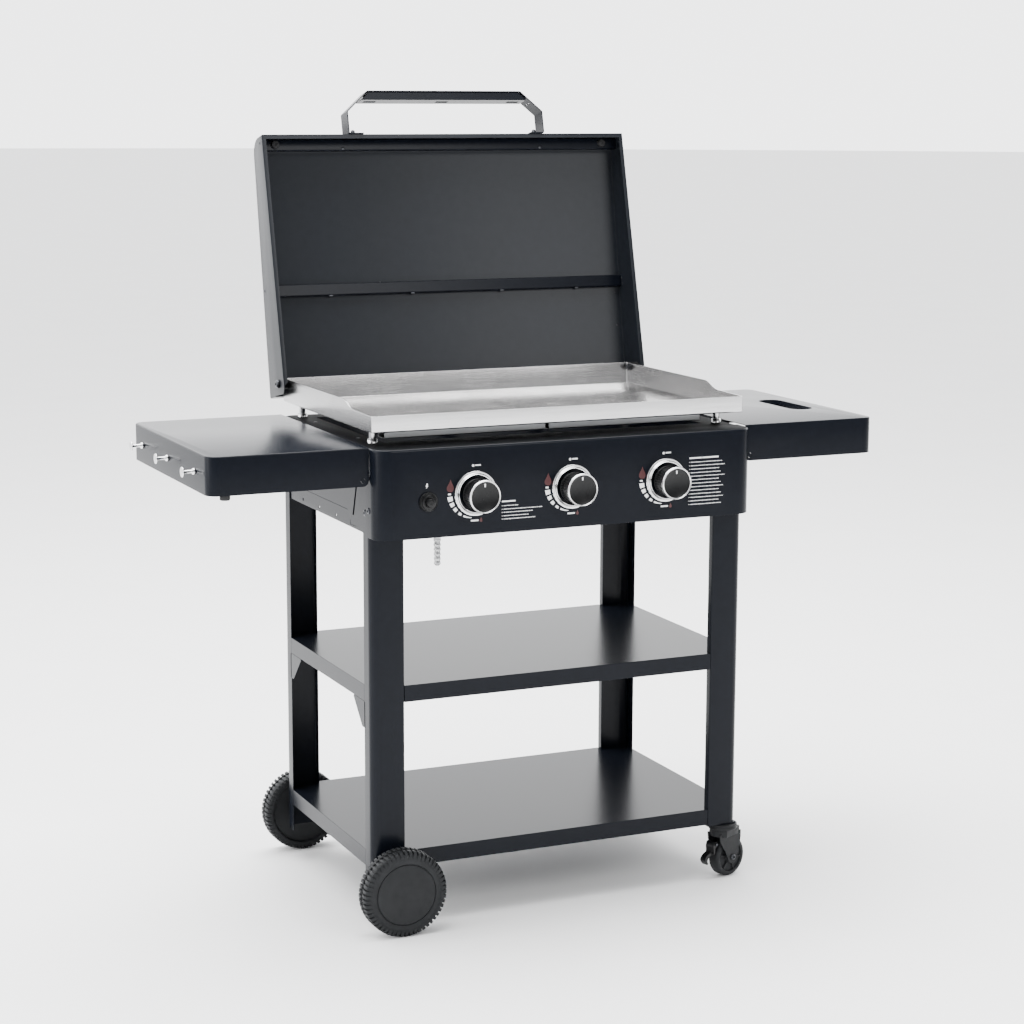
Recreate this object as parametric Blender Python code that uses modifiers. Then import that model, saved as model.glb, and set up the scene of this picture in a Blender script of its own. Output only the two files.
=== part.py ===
"""Three-burner flat top gas griddle on a wheeled cart, modelled with its lid open.

Metres, +Z up, +X to the cook's right, the control panel faces -Y. The cart stands on Z = 0.
Every sub-part is one named object; the last step moves the whole model so that the centre
of its bounding box stands over the origin.
"""
import math

import bmesh
import bpy
from mathutils import Matrix, Vector

GAP = 0.0003                 # clearance between pieces that touch
SHEET = 0.0015               # cart sheet steel
THIN = 0.0012                # panels, shelves and lid

# Cart frame
LEG_X = 0.359                # outer face of the legs' side flanges
LEG_Y = 0.2295               # outer face of the legs' front and rear flanges
LEG_FLANGE = 0.060           # width of a front or rear flange
LEG_SIDE = 0.0365            # width of a side flange
LEG_RETURN = 0.0145          # hem folded back along a flange's inner edge
LEG_RADIUS = 0.016
LEG_TOP = 0.745
LEG_FOOT_WHEEL = 0.058       # lower end of the legs that hold the axle
LEG_FOOT_CASTER = 0.107      # lower end of the legs that stand on casters
SHELF_TOPS = {"middle_shelf": 0.4316, "lower_shelf": 0.1372}
SHELF_DEPTH = 0.0294
FOOT_PLATE = 0.0030           # plate under a caster leg
GUSSET_LENGTH = 0.055
GUSSET_HEIGHT = 0.047

# Firebox and control panel
BOX_X = 0.3570
BOX_FRONT = -0.208
BOX_REAR = 0.2277
BOX_BOTTOM = 0.696
BOX_TOP = 0.845
BOX_FLANGE = 0.048
PANEL_X = 0.3605
PANEL_FRONT = -0.264
PANEL_REAR = -0.210
PANEL_BOTTOM = 0.6925
PANEL_TOP = 0.8465
PANEL_RADIUS = 0.031
PANEL_EDGE = 0.005

# Burner line
BURNER_X = (-0.182, 0.0, 0.182)
KNOB_Z = 0.7645
BURNER_RADIUS = 0.013
VALVE_RADIUS = 0.012
STEM_RADIUS = 0.004
MANIFOLD_RADIUS = 0.008
MANIFOLD_Y = -0.247
BEZEL_RADIUS = 0.039
BEZEL_DEPTH = 0.009
KNOB_RADIUS = 0.0262
KNOB_CAP = 0.0288             # rim round the knob's front face
KNOB_BACK = -0.2695
KNOB_FRONT = -0.3100
INLET_X = -0.2450
INLET_BOTTOM = 0.641
IGNITER = Vector((-0.2686, 0.0, 0.755))
IGNITER_RADIUS = 0.011
BUTTON_RADIUS = 0.0075

# Griddle plate
PAN_X = 0.356
PAN_Y = 0.2295
PAN_BOTTOM = 0.871
PAN_FLOOR = 0.003
PAN_WALL = 0.002
PAN_LIP = 0.8995             # top of the low front wall
STRIP_X = ((-0.318, -0.017), (-0.010, 0.289))    # stiffening strips welded under the pan
STRIP_Y = (-0.190, -0.160)
STRIP_DROP = 0.0162
PAN_TOP = 0.9140             # top of the side and rear walls
POST_X = 0.333
POST_Y = (-0.172, 0.189)
POST_RADIUS = 0.006

# Lid, in its own frame: hinge on the local X axis, +Z along the lid towards its handle
HINGE_Y = 0.213
HINGE_Z = 0.906
LID_LEAN = math.radians(13.6)
LID_X = 0.370
LID_OPEN = -0.0295           # plane of the lid's open side
LID_LENGTH = 0.457
LID_TAIL = 0.021             # how far the lid reaches past its hinge
LID_DEPTH = 0.057            # depth at the hinge end
LID_DEPTH_FRONT = 0.029      # depth at the handle end
LID_RADIUS = 0.030
LID_LIP = 0.008
HANDLE_X = 0.2005
HANDLE_Y = (-0.033, 0.003)
HANDLE_BEND = 0.500
HANDLE_TOP = 0.539
HANDLE_TOP_X = 0.157
GRIP_DROP = 0.017

# Side shelves
WING_INNER = 0.3615
WING_OUTER = {-1: 0.641, 1: 0.633}
WING_Y = 0.2295
WING_TOP = 0.8475
WING_DEPTH = 0.0655
WING_RADIUS = 0.021
WING_PIVOT = 0.010           # pivot's distance from the shelf's inner lower corner, in X and Z
HAND_HOLD = (0.574, -0.0096, 0.0236, 0.0528)   # x, y, radius, half length of the straight part

# Rolling gear
WHEEL_RADIUS = 0.0762
WHEEL_X = -0.318
WHEEL_INNER = 0.2453
WHEEL_OUTER = 0.2851
AXLE_RADIUS = 0.005
CASTER_X = 0.340
CASTER_Y = 0.212
CASTER_HEADING = math.radians(18.0)
CASTER_TRAIL = 0.012
CASTER_RADIUS = 0.0375
CASTER_HALF_WIDTH = 0.012
FORK_INNER = 0.0135
FORK_PLATE = 0.0025

for old in list(bpy.data.objects):
    bpy.data.objects.remove(old)

PARTS = bpy.data.collections.new("flat_top_griddle")
CUTTERS = bpy.data.collections.new("cutters")
bpy.context.scene.collection.children.link(PARTS)
bpy.context.scene.collection.children.link(CUTTERS)


# ---------------------------------------------------------------- helpers

def material(name, colour, roughness, metallic=0.0):
    """A plain Principled material."""
    mat = bpy.data.materials.new(name)
    mat.use_nodes = True
    shader = mat.node_tree.nodes["Principled BSDF"]
    shader.inputs["Base Color"].default_value = (*colour, 1.0)
    shader.inputs["Roughness"].default_value = roughness
    shader.inputs["Metallic"].default_value = metallic
    return mat


def powder_coat(name):
    return material(name, (0.022, 0.025, 0.030), 0.42)


def stainless(name):
    return material(name, (0.62, 0.62, 0.61), 0.28, 1.0)


def chrome(name):
    return material(name, (0.75, 0.75, 0.76), 0.12, 1.0)


def plastic(name):
    return material(name, (0.035, 0.037, 0.040), 0.55)


def brass(name):
    return material(name, (0.60, 0.45, 0.20), 0.35, 1.0)


def place(name, mesh, mat, matrix=None, collection=None):
    """Link a mesh as a named object."""
    obj = bpy.data.objects.new(name, mesh)
    if mat is not None:
        obj.data.materials.append(mat)
    obj.matrix_world = matrix or Matrix.Identity(4)
    (collection or PARTS).objects.link(obj)
    return obj


def from_bmesh(name, bm, mat, matrix=None, collection=None):
    mesh = bpy.data.meshes.new(name)
    bm.to_mesh(mesh)
    bm.free()
    return place(name, mesh, mat, matrix, collection)


def smooth(obj, angle=35.0):
    obj.data.shade_smooth()
    obj.data.set_sharp_from_angle(angle=math.radians(angle))
    return obj


def box(name, low, high, mat, collection=None, matrix=None):
    """A block between two corners."""
    bm = bmesh.new()
    bmesh.ops.create_cube(bm, size=1.0)
    low, high = Vector(low), Vector(high)
    for vert in bm.verts:
        for axis in range(3):
            middle = (low[axis] + high[axis]) / 2
            vert.co[axis] = middle + vert.co[axis] * (high[axis] - low[axis])
    return from_bmesh(name, bm, mat, matrix, collection)


def rod(name, start, end, radius, mat, segments=20, collection=None, matrix=None):
    """A plain round bar from start to end."""
    start, end = Vector(start), Vector(end)
    bm = bmesh.new()
    bmesh.ops.create_cone(bm, cap_ends=True, segments=segments, radius1=radius,
                          radius2=radius, depth=(end - start).length)
    turn = Vector((0, 0, 1)).rotation_difference(end - start).to_matrix().to_4x4()
    bmesh.ops.transform(bm, matrix=Matrix.Translation((start + end) / 2) @ turn, verts=bm.verts)
    return smooth(from_bmesh(name, bm, mat, matrix, collection))


def turned(name, profile, mat, matrix, steps=24):
    """A solid of revolution about local Z; the profile (radius, height) runs down its outer side."""
    bm = bmesh.new()
    verts = [bm.verts.new((radius, 0.0, height)) for radius, height in profile]
    for first, second in zip(verts, verts[1:]):
        bm.edges.new((first, second))
    obj = from_bmesh(name, bm, mat, matrix)
    screw = obj.modifiers.new("turn", "SCREW")
    screw.steps = steps
    screw.render_steps = steps
    screw.use_merge_vertices = True
    screw.merge_threshold = 0.00001
    screw.use_smooth_shade = False
    return obj


def arc(centre, radius, start, end, steps):
    """Points on an arc, angles in degrees, both ends included."""
    angles = [math.radians(start + (end - start) * i / steps) for i in range(steps + 1)]
    return [(centre[0] + radius * math.cos(a), centre[1] + radius * math.sin(a)) for a in angles]


def ribbon(name, path, height, thickness, mat, matrix, side):
    """A folded sheet: a flat path raised by height, thickened to its left (+1) or right (-1)."""
    bm = bmesh.new()
    verts = [bm.verts.new((x, y, 0.0)) for x, y in path]
    edges = [bm.edges.new(pair) for pair in zip(verts, verts[1:])]
    grown = bmesh.ops.extrude_edge_only(bm, edges=edges)["geom"]
    lifted = [item for item in grown if isinstance(item, bmesh.types.BMVert)]
    bmesh.ops.translate(bm, verts=lifted, vec=(0, 0, height))
    bmesh.ops.recalc_face_normals(bm, faces=bm.faces)
    bm.faces.ensure_lookup_table()
    ahead = Vector((*path[1], 0)) - Vector((*path[0], 0))
    first = next(f for f in bm.faces if verts[0] in f.verts)
    if first.normal.dot(Vector((-ahead.y, ahead.x, 0))) < 0:
        bmesh.ops.reverse_faces(bm, faces=bm.faces)
    obj = from_bmesh(name, bm, mat, matrix)
    return solidify(obj, thickness, side)


def solidify(obj, thickness, side):
    shell = obj.modifiers.new("sheet", "SOLIDIFY")
    shell.thickness = thickness
    shell.offset = side
    shell.use_even_offset = True
    return obj


def tray(name, outline, top, depth, thickness, mat, open_edges=()):
    """A shelf: a flat outline with its edges folded down, except the edges listed as open."""
    bm = bmesh.new()
    verts = [bm.verts.new((x, y, top)) for x, y in outline]
    face = bm.faces.new(verts)
    if face.normal.z <= 0:
        face.normal_flip()
    bm.normal_update()
    if face.normal.z < 0:
        face.normal_flip()
    count = len(verts)
    pairs = [(i, (i + 1) % count) for i in range(count) if i not in open_edges]
    edges = [bm.edges.get((verts[i], verts[j])) for i, j in pairs]
    grown = bmesh.ops.extrude_edge_only(bm, edges=edges)["geom"]
    lowered = [item for item in grown if isinstance(item, bmesh.types.BMVert)]
    bmesh.ops.translate(bm, verts=lowered, vec=(0, 0, -depth))
    face_up(bm)
    return solidify(from_bmesh(name, bm, mat), thickness, -1)


def face_up(bm):
    """Make an open shell's normals agree, with its topmost flat face pointing up."""
    bmesh.ops.recalc_face_normals(bm, faces=bm.faces)
    bm.normal_update()
    flat = [f for f in bm.faces if abs(f.normal.z) > 0.99]
    top = max(flat, key=lambda f: (round(f.calc_center_median().z, 4), f.calc_area()))
    if top.normal.z < 0:
        bmesh.ops.reverse_faces(bm, faces=bm.faces)


def prism(name, outline, low, high, mat, matrix=None, collection=None):
    """A flat outline in local XY, extruded from Z = low to high."""
    curve = bpy.data.curves.new(name, "CURVE")
    curve.dimensions = "2D"
    curve.fill_mode = "BOTH"
    curve.extrude = (high - low) / 2
    spline = curve.splines.new("POLY")
    spline.points.add(len(outline) - 1)
    for point, (x, y) in zip(spline.points, outline):
        point.co = (x, y, 0.0, 1.0)
    spline.use_cyclic_u = True
    flat = bpy.data.objects.new(name + "_outline", curve)
    bpy.context.scene.collection.objects.link(flat)
    bpy.context.view_layer.update()
    mesh = bpy.data.meshes.new_from_object(flat.evaluated_get(bpy.context.evaluated_depsgraph_get()))
    bpy.data.objects.remove(flat)
    bm = bmesh.new()
    bm.from_mesh(mesh)
    bpy.data.meshes.remove(mesh)
    bmesh.ops.remove_doubles(bm, verts=bm.verts, dist=0.00001)
    bmesh.ops.translate(bm, verts=bm.verts, vec=(0, 0, (low + high) / 2))
    bmesh.ops.recalc_face_normals(bm, faces=bm.faces)
    return from_bmesh(name, bm, mat, matrix, collection)


def combine(obj, cutter, operation="DIFFERENCE"):
    """Cut or join with a hidden helper object."""
    if cutter.name not in CUTTERS.objects:
        PARTS.objects.unlink(cutter)
        CUTTERS.objects.link(cutter)
    cutter.hide_render = True
    cutter.display_type = "WIRE"
    step = obj.modifiers.new(cutter.name, "BOOLEAN")
    step.operation = operation
    step.object = cutter
    step.solver = "EXACT"
    return obj


def cut_rod(obj, start, end, radius, segments=20, matrix=None):
    name = f"cut_{obj.name}_{len(obj.modifiers)}"
    return combine(obj, rod(name, start, end, radius, None, segments, CUTTERS, matrix))


# Local frames. Each maps local Z to the named direction.
TO_REAR = Matrix.Rotation(-math.pi / 2, 4, "X")      # local Z -> +Y
TO_RIGHT = Matrix.Rotation(math.pi / 2, 4, "Y")      # local Z -> +X, local X -> -Z
LID_FRAME = Matrix.Translation((0, HINGE_Y, HINGE_Z)) @ Matrix.Rotation(-LID_LEAN, 4, "X")
# Side profiles are drawn as (y, z) and extruded along X.
SIDE_VIEW = Matrix(((0, 0, 1, 0), (1, 0, 0, 0), (0, 1, 0, 0), (0, 0, 0, 1)))
# Front profiles are drawn as (x, z) and extruded along -Y.
FRONT_VIEW = Matrix(((1, 0, 0, 0), (0, 0, -1, 0), (0, 1, 0, 0), (0, 0, 0, 1)))


# ---------------------------------------------------------------- cart frame

def leg(name, side, end):
    """A folded sheet leg; side is -1 left or +1 right, end is -1 front or +1 rear."""
    foot = LEG_FOOT_WHEEL if side < 0 else LEG_FOOT_CASTER
    inner_x = LEG_X - LEG_FLANGE
    bend = arc((LEG_X - LEG_RADIUS, LEG_Y - LEG_RADIUS), LEG_RADIUS, 90, 0, 5)
    quarter = [(inner_x, LEG_Y - LEG_RETURN), (inner_x, LEG_Y), *bend, (LEG_X, LEG_Y - LEG_SIDE)]
    path = [(side * x, end * y) for x, y in quarter]
    obj = ribbon(name, path, LEG_TOP - foot, SHEET, powder_coat(name),
                 Matrix.Translation((0, 0, foot)), -side * end)
    low = SHELF_TOPS["middle_shelf"] - SHELF_DEPTH - GAP
    edge = LEG_Y - LEG_SIDE
    triangle = [(end * (edge + 0.004), low), (end * (edge - GUSSET_LENGTH), low),
                (end * (edge - 0.010), low - GUSSET_HEIGHT), (end * (edge + 0.004), low - GUSSET_HEIGHT)]
    outer, inner = side * LEG_X, side * (LEG_X - SHEET)
    gusset = prism("gusset_" + name, triangle, min(outer, inner), max(outer, inner), None, SIDE_VIEW)
    combine(obj, gusset, "UNION")
    if end > 0:
        hem_x = sorted((side * (inner_x - 0.001), side * (inner_x + 0.004)))
        combine(obj, box("hem_" + name, (hem_x[0], LEG_Y - LEG_RETURN - 0.005, BOX_BOTTOM - 0.001),
                         (hem_x[1], LEG_Y - SHEET - 0.0002, LEG_TOP + 0.01), None, CUTTERS))
    if side < 0:
        cut_rod(obj, (WHEEL_X, end * (LEG_Y - 0.01), WHEEL_RADIUS),
                (WHEEL_X, end * (LEG_Y + 0.01), WHEEL_RADIUS), AXLE_RADIUS + GAP)
    else:
        plate = box("foot_" + name,
                    (inner_x, min(end * 0.185, end * (LEG_Y - 0.0008)), foot - FOOT_PLATE),
                    (LEG_X - 0.0008, max(end * 0.185, end * (LEG_Y - 0.0008)), foot + 0.0004), None)
        combine(obj, plate, "UNION")
    return smooth(obj)


def shelf(name):
    """A tray between the legs, notched round each leg's folded section."""
    reach_x = LEG_X - LEG_FLANGE - GAP
    reach_y = LEG_Y - LEG_SIDE - GAP
    notch_x = LEG_X - SHEET - GAP
    notch_y = LEG_Y - LEG_RETURN - GAP
    corner = [(reach_x, LEG_Y), (reach_x, notch_y), (notch_x, notch_y), (notch_x, reach_y),
              (LEG_X, reach_y)]
    outline = []
    for sx, sy, order in ((1, -1, 1), (1, 1, -1), (-1, 1, 1), (-1, -1, -1)):
        outline += [(sx * x, sy * y) for x, y in corner[::order]]
    return tray(name, outline, SHELF_TOPS[name], SHELF_DEPTH, THIN, powder_coat(name))


# ---------------------------------------------------------------- firebox and controls

def firebox():
    """Four walls with a wide inner rim on top, and two hinge tabs on each side."""
    bend = LEG_RADIUS + GAP
    corner = arc((BOX_X - bend, BOX_REAR - bend), bend, 0, 90, 5)
    half = [(BOX_X, BOX_FRONT), *corner]
    outline = half + [(-x, y) for x, y in reversed(half)]
    obj = tray("firebox", outline, BOX_TOP, BOX_TOP - BOX_BOTTOM, SHEET, powder_coat("firebox"))
    inner = BOX_X - BOX_FLANGE
    combine(obj, box("firebox_opening", (-inner, BOX_FRONT + BOX_FLANGE, BOX_TOP - 0.01),
                     (inner, BOX_REAR - BOX_FLANGE, BOX_TOP + 0.01), None, CUTTERS))
    for side in (-1, 1):
        for end in (-1, 1):
            combine(obj, hinge_tab(side, end), "UNION")
    for x in BURNER_X:
        cut_rod(obj, (x, BOX_FRONT - 0.01, KNOB_Z), (x, BOX_FRONT + 0.01, KNOB_Z), BURNER_RADIUS + GAP)
    slot = [(-0.160, 0.770), (-0.153, 0.770), (-0.137, 0.719), (-0.144, 0.719)]
    for side in (-1, 1):
        low, high = sorted((side * (BOX_X - 0.01), side * (BOX_X + 0.01)))
        combine(obj, prism(f"slot_{high:.3f}", slot, low, high, None, SIDE_VIEW, CUTTERS))
        for y in (-0.0535, 0.034, 0.121):
            cut_rod(obj, (low, y, 0.7047), (high, y, 0.7047), 0.003, 10)
        for end in (-1, 1):
            pivot = (side * (WING_INNER + WING_PIVOT), end * 0.150, WING_TOP - WING_DEPTH + WING_PIVOT)
            cut_rod(obj, (pivot[0], pivot[1] - 0.02, pivot[2]), (pivot[0], pivot[1] + 0.02, pivot[2]),
                    STEM_RADIUS + GAP, 16)
    return obj


def hinge_tab(side, end):
    """An ear on the firebox wall that holds a side shelf's hinge rod."""
    pivot_x, pivot_z = WING_INNER + WING_PIVOT, WING_TOP - WING_DEPTH + WING_PIVOT
    nose = arc((pivot_x, pivot_z), 0.008, 90, -90, 8)
    outline = [(side * x, z) for x, z in [(BOX_X - 0.001, pivot_z + 0.008), *nose,
                                          (BOX_X - 0.001, pivot_z - 0.008)]]
    middle = -end * 0.150
    return prism(f"tab_{side}_{end}", outline, middle - 0.0015, middle + 0.0015, None, FRONT_VIEW, CUTTERS)


def control_panel():
    """Folded front panel: rounded corners, a top that runs back to the firebox, open below."""
    corner = arc((PANEL_X - PANEL_RADIUS, PANEL_FRONT + PANEL_RADIUS), PANEL_RADIUS, 0, -90, 7)
    right = [(PANEL_X, PANEL_REAR), *corner]
    outline = right + [(-x, y) for x, y in reversed(right)]
    bm = bmesh.new()
    verts = [bm.verts.new((x, y, PANEL_TOP)) for x, y in outline]
    bm.faces.new(verts)
    edges = [bm.edges.get(pair) for pair in zip(verts, verts[1:])]
    grown = bmesh.ops.extrude_edge_only(bm, edges=edges)["geom"]
    lowered = [item for item in grown if isinstance(item, bmesh.types.BMVert)]
    bmesh.ops.translate(bm, verts=lowered, vec=(0, 0, PANEL_BOTTOM - PANEL_TOP))
    face_up(bm)
    rim = [e for e in bm.edges if len(e.link_faces) == 2
           and all(abs(v.co.z - PANEL_TOP) < 1e-6 for v in e.verts)]
    bmesh.ops.bevel(bm, geom=rim, offset=PANEL_EDGE, segments=2, profile=0.5, affect="EDGES")
    obj = solidify(from_bmesh("control_panel", bm, powder_coat("control_panel")), THIN, -1)
    for x in BURNER_X:
        cut_rod(obj, (x, PANEL_FRONT - 0.01, KNOB_Z), (x, PANEL_FRONT + 0.01, KNOB_Z), 0.0055)
    start, end = IGNITER.copy(), IGNITER.copy()
    start.y, end.y = PANEL_FRONT - 0.01, PANEL_FRONT + 0.01
    cut_rod(obj, start, end, IGNITER_RADIUS + GAP)
    return smooth(obj)


def burner_line(index, x):
    """Burner tube, gas valve, spindle, bezel and knob of one burner."""
    number = index + 1
    r = BURNER_RADIUS
    mouth, back = -0.222, 0.186
    here = Matrix.Translation((x, 0, KNOB_Z)) @ TO_REAR
    pin_end = BOX_REAR - SHEET - GAP
    tube = [(0, pin_end), (0.004, pin_end), (0.004, back + 0.004), (r, back), (r, mouth),
            (r - SHEET, mouth), (r - SHEET, back - SHEET), (0, back - SHEET)]
    smooth(turned(f"burner_tube_{number}", tube, stainless(f"burner_{number}"), here, 18))
    face, recess, tail = PANEL_FRONT + THIN + GAP, -0.253, -0.236
    body = [(0, -0.213), (0.004, -0.213), (0.005, tail), (VALVE_RADIUS, tail), (VALVE_RADIUS, face + 0.006),
            (0.008, face), (STEM_RADIUS + GAP, face), (STEM_RADIUS + GAP, recess), (0, recess)]
    smooth(turned(f"gas_valve_{number}", body, brass(f"valve_{number}"), here, 16))
    rod(f"valve_stem_{number}", (x, -0.290, KNOB_Z), (x, -0.2575, KNOB_Z), STEM_RADIUS,
        brass(f"stem_{number}"), 16)
    front = PANEL_FRONT - GAP
    ring = [(KNOB_RADIUS + 0.0015, front - BEZEL_DEPTH), (KNOB_RADIUS + 0.0015, front),
            (BEZEL_RADIUS, front), (BEZEL_RADIUS, front - 0.003),
            (BEZEL_RADIUS - 0.005, front - BEZEL_DEPTH), (KNOB_RADIUS + 0.0015, front - BEZEL_DEPTH)]
    smooth(turned(f"knob_bezel_{number}", ring, chrome(f"bezel_{number}"), here, 32))
    bore = STEM_RADIUS + GAP
    knob = [(0, -0.2905), (bore, -0.2905), (bore, KNOB_BACK), (KNOB_RADIUS, KNOB_BACK),
            (KNOB_RADIUS, KNOB_FRONT + 0.009), (KNOB_CAP, KNOB_FRONT + 0.006),
            (KNOB_CAP, KNOB_FRONT + 0.001), (KNOB_CAP - 0.001, KNOB_FRONT), (0, KNOB_FRONT)]
    smooth(turned(f"knob_{number}", knob, plastic(f"knob_{number}"), here, 32))


def gas_supply():
    """Manifold pipe under the valves and the hose barb that feeds it."""
    z = KNOB_Z - VALVE_RADIUS - MANIFOLD_RADIUS - GAP
    rod("gas_manifold", (INLET_X - 0.010, MANIFOLD_Y, z), (BURNER_X[2] + 0.020, MANIFOLD_Y, z),
        MANIFOLD_RADIUS, stainless("manifold"), 16)
    top = z - MANIFOLD_RADIUS - GAP
    profile = [(0, top), (0.0065, top), (0.0065, top - 0.030), (0.0095, top - 0.032),
               (0.0095, top - 0.044), (0.005, top - 0.046)]
    barb = INLET_BOTTOM + 0.036
    for step in range(4):
        height = barb - 0.009 * step
        profile += [(0.0045, height), (0.0065, height - 0.007)]
    profile += [(0.0045, INLET_BOTTOM), (0, INLET_BOTTOM)]
    here = Matrix.Translation((INLET_X, MANIFOLD_Y, 0))
    smooth(turned("gas_inlet_barb", profile, stainless("inlet"), here, 14))


def igniter():
    """Push-button igniter: a housing through the panel and the button that slides in it."""
    here = Matrix.Translation((IGNITER.x, 0, IGNITER.z)) @ TO_REAR
    front, rear = PANEL_FRONT - GAP, -0.222
    bore, bottom = BUTTON_RADIUS + GAP, -0.251
    housing = [(0, rear), (IGNITER_RADIUS, rear), (IGNITER_RADIUS, front), (0.0165, front),
               (0.0165, front - 0.003), (0.0135, front - 0.007), (bore, front - 0.007),
               (bore, bottom), (0, bottom)]
    smooth(turned("igniter_housing", housing, plastic("igniter_housing"), here, 24))
    button = [(0, -0.259), (BUTTON_RADIUS, -0.259), (BUTTON_RADIUS, -0.2770), (0.0055, -0.2790), (0, -0.2790)]
    smooth(turned("igniter_button", button, plastic("igniter_button"), here, 20))


# ---------------------------------------------------------------- griddle and lid

def griddle_plate():
    """Open pan: flat floor, low front wall, side walls sweeping up to a high rear wall, two welded strips."""
    bm = bmesh.new()
    bmesh.ops.create_cube(bm, size=1.0)
    for vert in bm.verts:
        vert.co = Vector((vert.co.x * 2 * PAN_X, vert.co.y * 2 * PAN_Y,
                          PAN_BOTTOM if vert.co.z < 0 else PAN_TOP))
    bm.normal_update()
    lid_face = next(f for f in bm.faces if f.normal.z > 0.9)
    bmesh.ops.delete(bm, geom=[lid_face], context="FACES_ONLY")
    upright = [e for e in bm.edges if abs(e.verts[0].co.z - e.verts[1].co.z) > 0.01]
    bmesh.ops.bevel(bm, geom=upright, offset=0.004, segments=2, profile=0.5, affect="EDGES")
    obj = solidify(from_bmesh("griddle_plate", bm, stainless("griddle")), PAN_FLOOR, -1)
    slope = [(-0.0900 - 0.0500 * t, PAN_TOP - (PAN_TOP - PAN_LIP - 0.0015) * (3 * t * t - 2 * t ** 3))
             for t in (0.0, 0.15, 0.3, 0.45, 0.6, 0.75, 0.9, 1.0)]
    above = PAN_TOP + 0.02
    outline = [(slope[0][0], above), (slope[0][0], PAN_TOP + 0.0002), *slope[1:],
               (-PAN_Y - 0.01, PAN_LIP), (-PAN_Y - 0.01, above)]
    combine(obj, prism("wall_sweep", outline, -PAN_X - 0.01, PAN_X + 0.01, None, SIDE_VIEW, CUTTERS))
    for side in (-1, 1):
        cut_rod(obj, (side * (PAN_X - 0.02), HINGE_Y, HINGE_Z), (side * (PAN_X + 0.02), HINGE_Y, HINGE_Z),
                STEM_RADIUS + GAP, 16)
    weld, low = PAN_BOTTOM + 0.001, PAN_BOTTOM - STRIP_DROP
    front, rear = STRIP_Y
    section = [(front, weld), (front, low), (rear, low), (rear, low + SHEET), (front + SHEET, low + SHEET),
               (front + SHEET, weld)]
    for start, stop in STRIP_X:
        combine(obj, prism(f"strip_{start:.3f}", section, start, stop, None, SIDE_VIEW, CUTTERS), "UNION")
    return smooth(obj)


def griddle_posts():
    """Four posts, each with a nut at its foot, that hold the plate above the firebox rim."""
    low, high = BOX_TOP + GAP, PAN_BOTTOM - GAP
    profile = [(0, high), (POST_RADIUS, high), (POST_RADIUS, low + 0.008), (0.0085, low + 0.007),
               (0.0085, low), (0, low)]
    for side, x in (("left", -POST_X), ("right", POST_X)):
        for end, y in (("front", POST_Y[0]), ("rear", POST_Y[1])):
            name = f"griddle_post_{end}_{side}"
            smooth(turned(name, profile, chrome(name), Matrix.Translation((x, y, 0)), 16))


def lid_depth(along):
    """Outer depth of the lid's top sheet at a distance from the hinge."""
    share = (along + LID_TAIL) / (LID_LENGTH + LID_TAIL)
    return LID_DEPTH + (LID_DEPTH_FRONT - 0.002 - LID_DEPTH) * share


def lid_shell():
    """Drawn-steel lid: top sheet, rounded nose, two side walls, a narrow lip round its open side."""
    nose = arc((lid_depth(LID_LENGTH) - LID_RADIUS, LID_LENGTH - LID_RADIUS), LID_RADIUS, 4, 90, 6)
    heel = arc((LID_OPEN + 0.012, -LID_TAIL + 0.012), 0.012, 180, 270, 4)
    outline = [(LID_OPEN, LID_LENGTH), *heel, (0.026, -LID_TAIL),
               (LID_DEPTH - 0.004, -LID_TAIL), (LID_DEPTH, -LID_TAIL + 0.004), *nose]
    bm = bmesh.new()
    left = [bm.verts.new((-LID_X, y, z)) for y, z in outline]
    right = [bm.verts.new((LID_X, y, z)) for y, z in outline]
    bm.faces.new(left)
    bm.faces.new(right)
    count = len(outline)
    strips = []
    for i in range(count):
        j = (i + 1) % count
        strips.append(bm.faces.new((left[i], left[j], right[j], right[i])))
    bmesh.ops.recalc_face_normals(bm, faces=bm.faces)
    mouth = strips[0]
    bmesh.ops.delete(bm, geom=strips[1:len(heel) + 1], context="FACES_ONLY")
    bmesh.ops.inset_region(bm, faces=[mouth], thickness=LID_LIP, use_boundary=True, use_even_offset=True)
    bm.normal_update()
    across = [f for f in bm.faces if f.normal.y < -0.9 and f.calc_center_median().z < 0.0
              and f.calc_center_median().y < LID_OPEN + 1e-4 and abs(f.calc_center_median().x) < 0.01]
    bmesh.ops.delete(bm, geom=[mouth, *across], context="FACES_ONLY")
    loose = [v for v in bm.verts if not v.link_faces]
    bmesh.ops.delete(bm, geom=loose, context="VERTS")
    obj = solidify(from_bmesh("lid_shell", bm, powder_coat("lid"), LID_FRAME), THIN, -1)
    shell = obj.modifiers["sheet"]
    shell.solidify_mode = "NON_MANIFOLD"
    shell.nonmanifold_thickness_mode = "CONSTRAINTS"
    for side in (-1, 1):
        cut_rod(obj, (side * (LID_X - 0.01), 0, 0), (side * (LID_X + 0.01), 0, 0),
                STEM_RADIUS + GAP, 16, LID_FRAME)
    return smooth(obj, 25)


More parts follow.
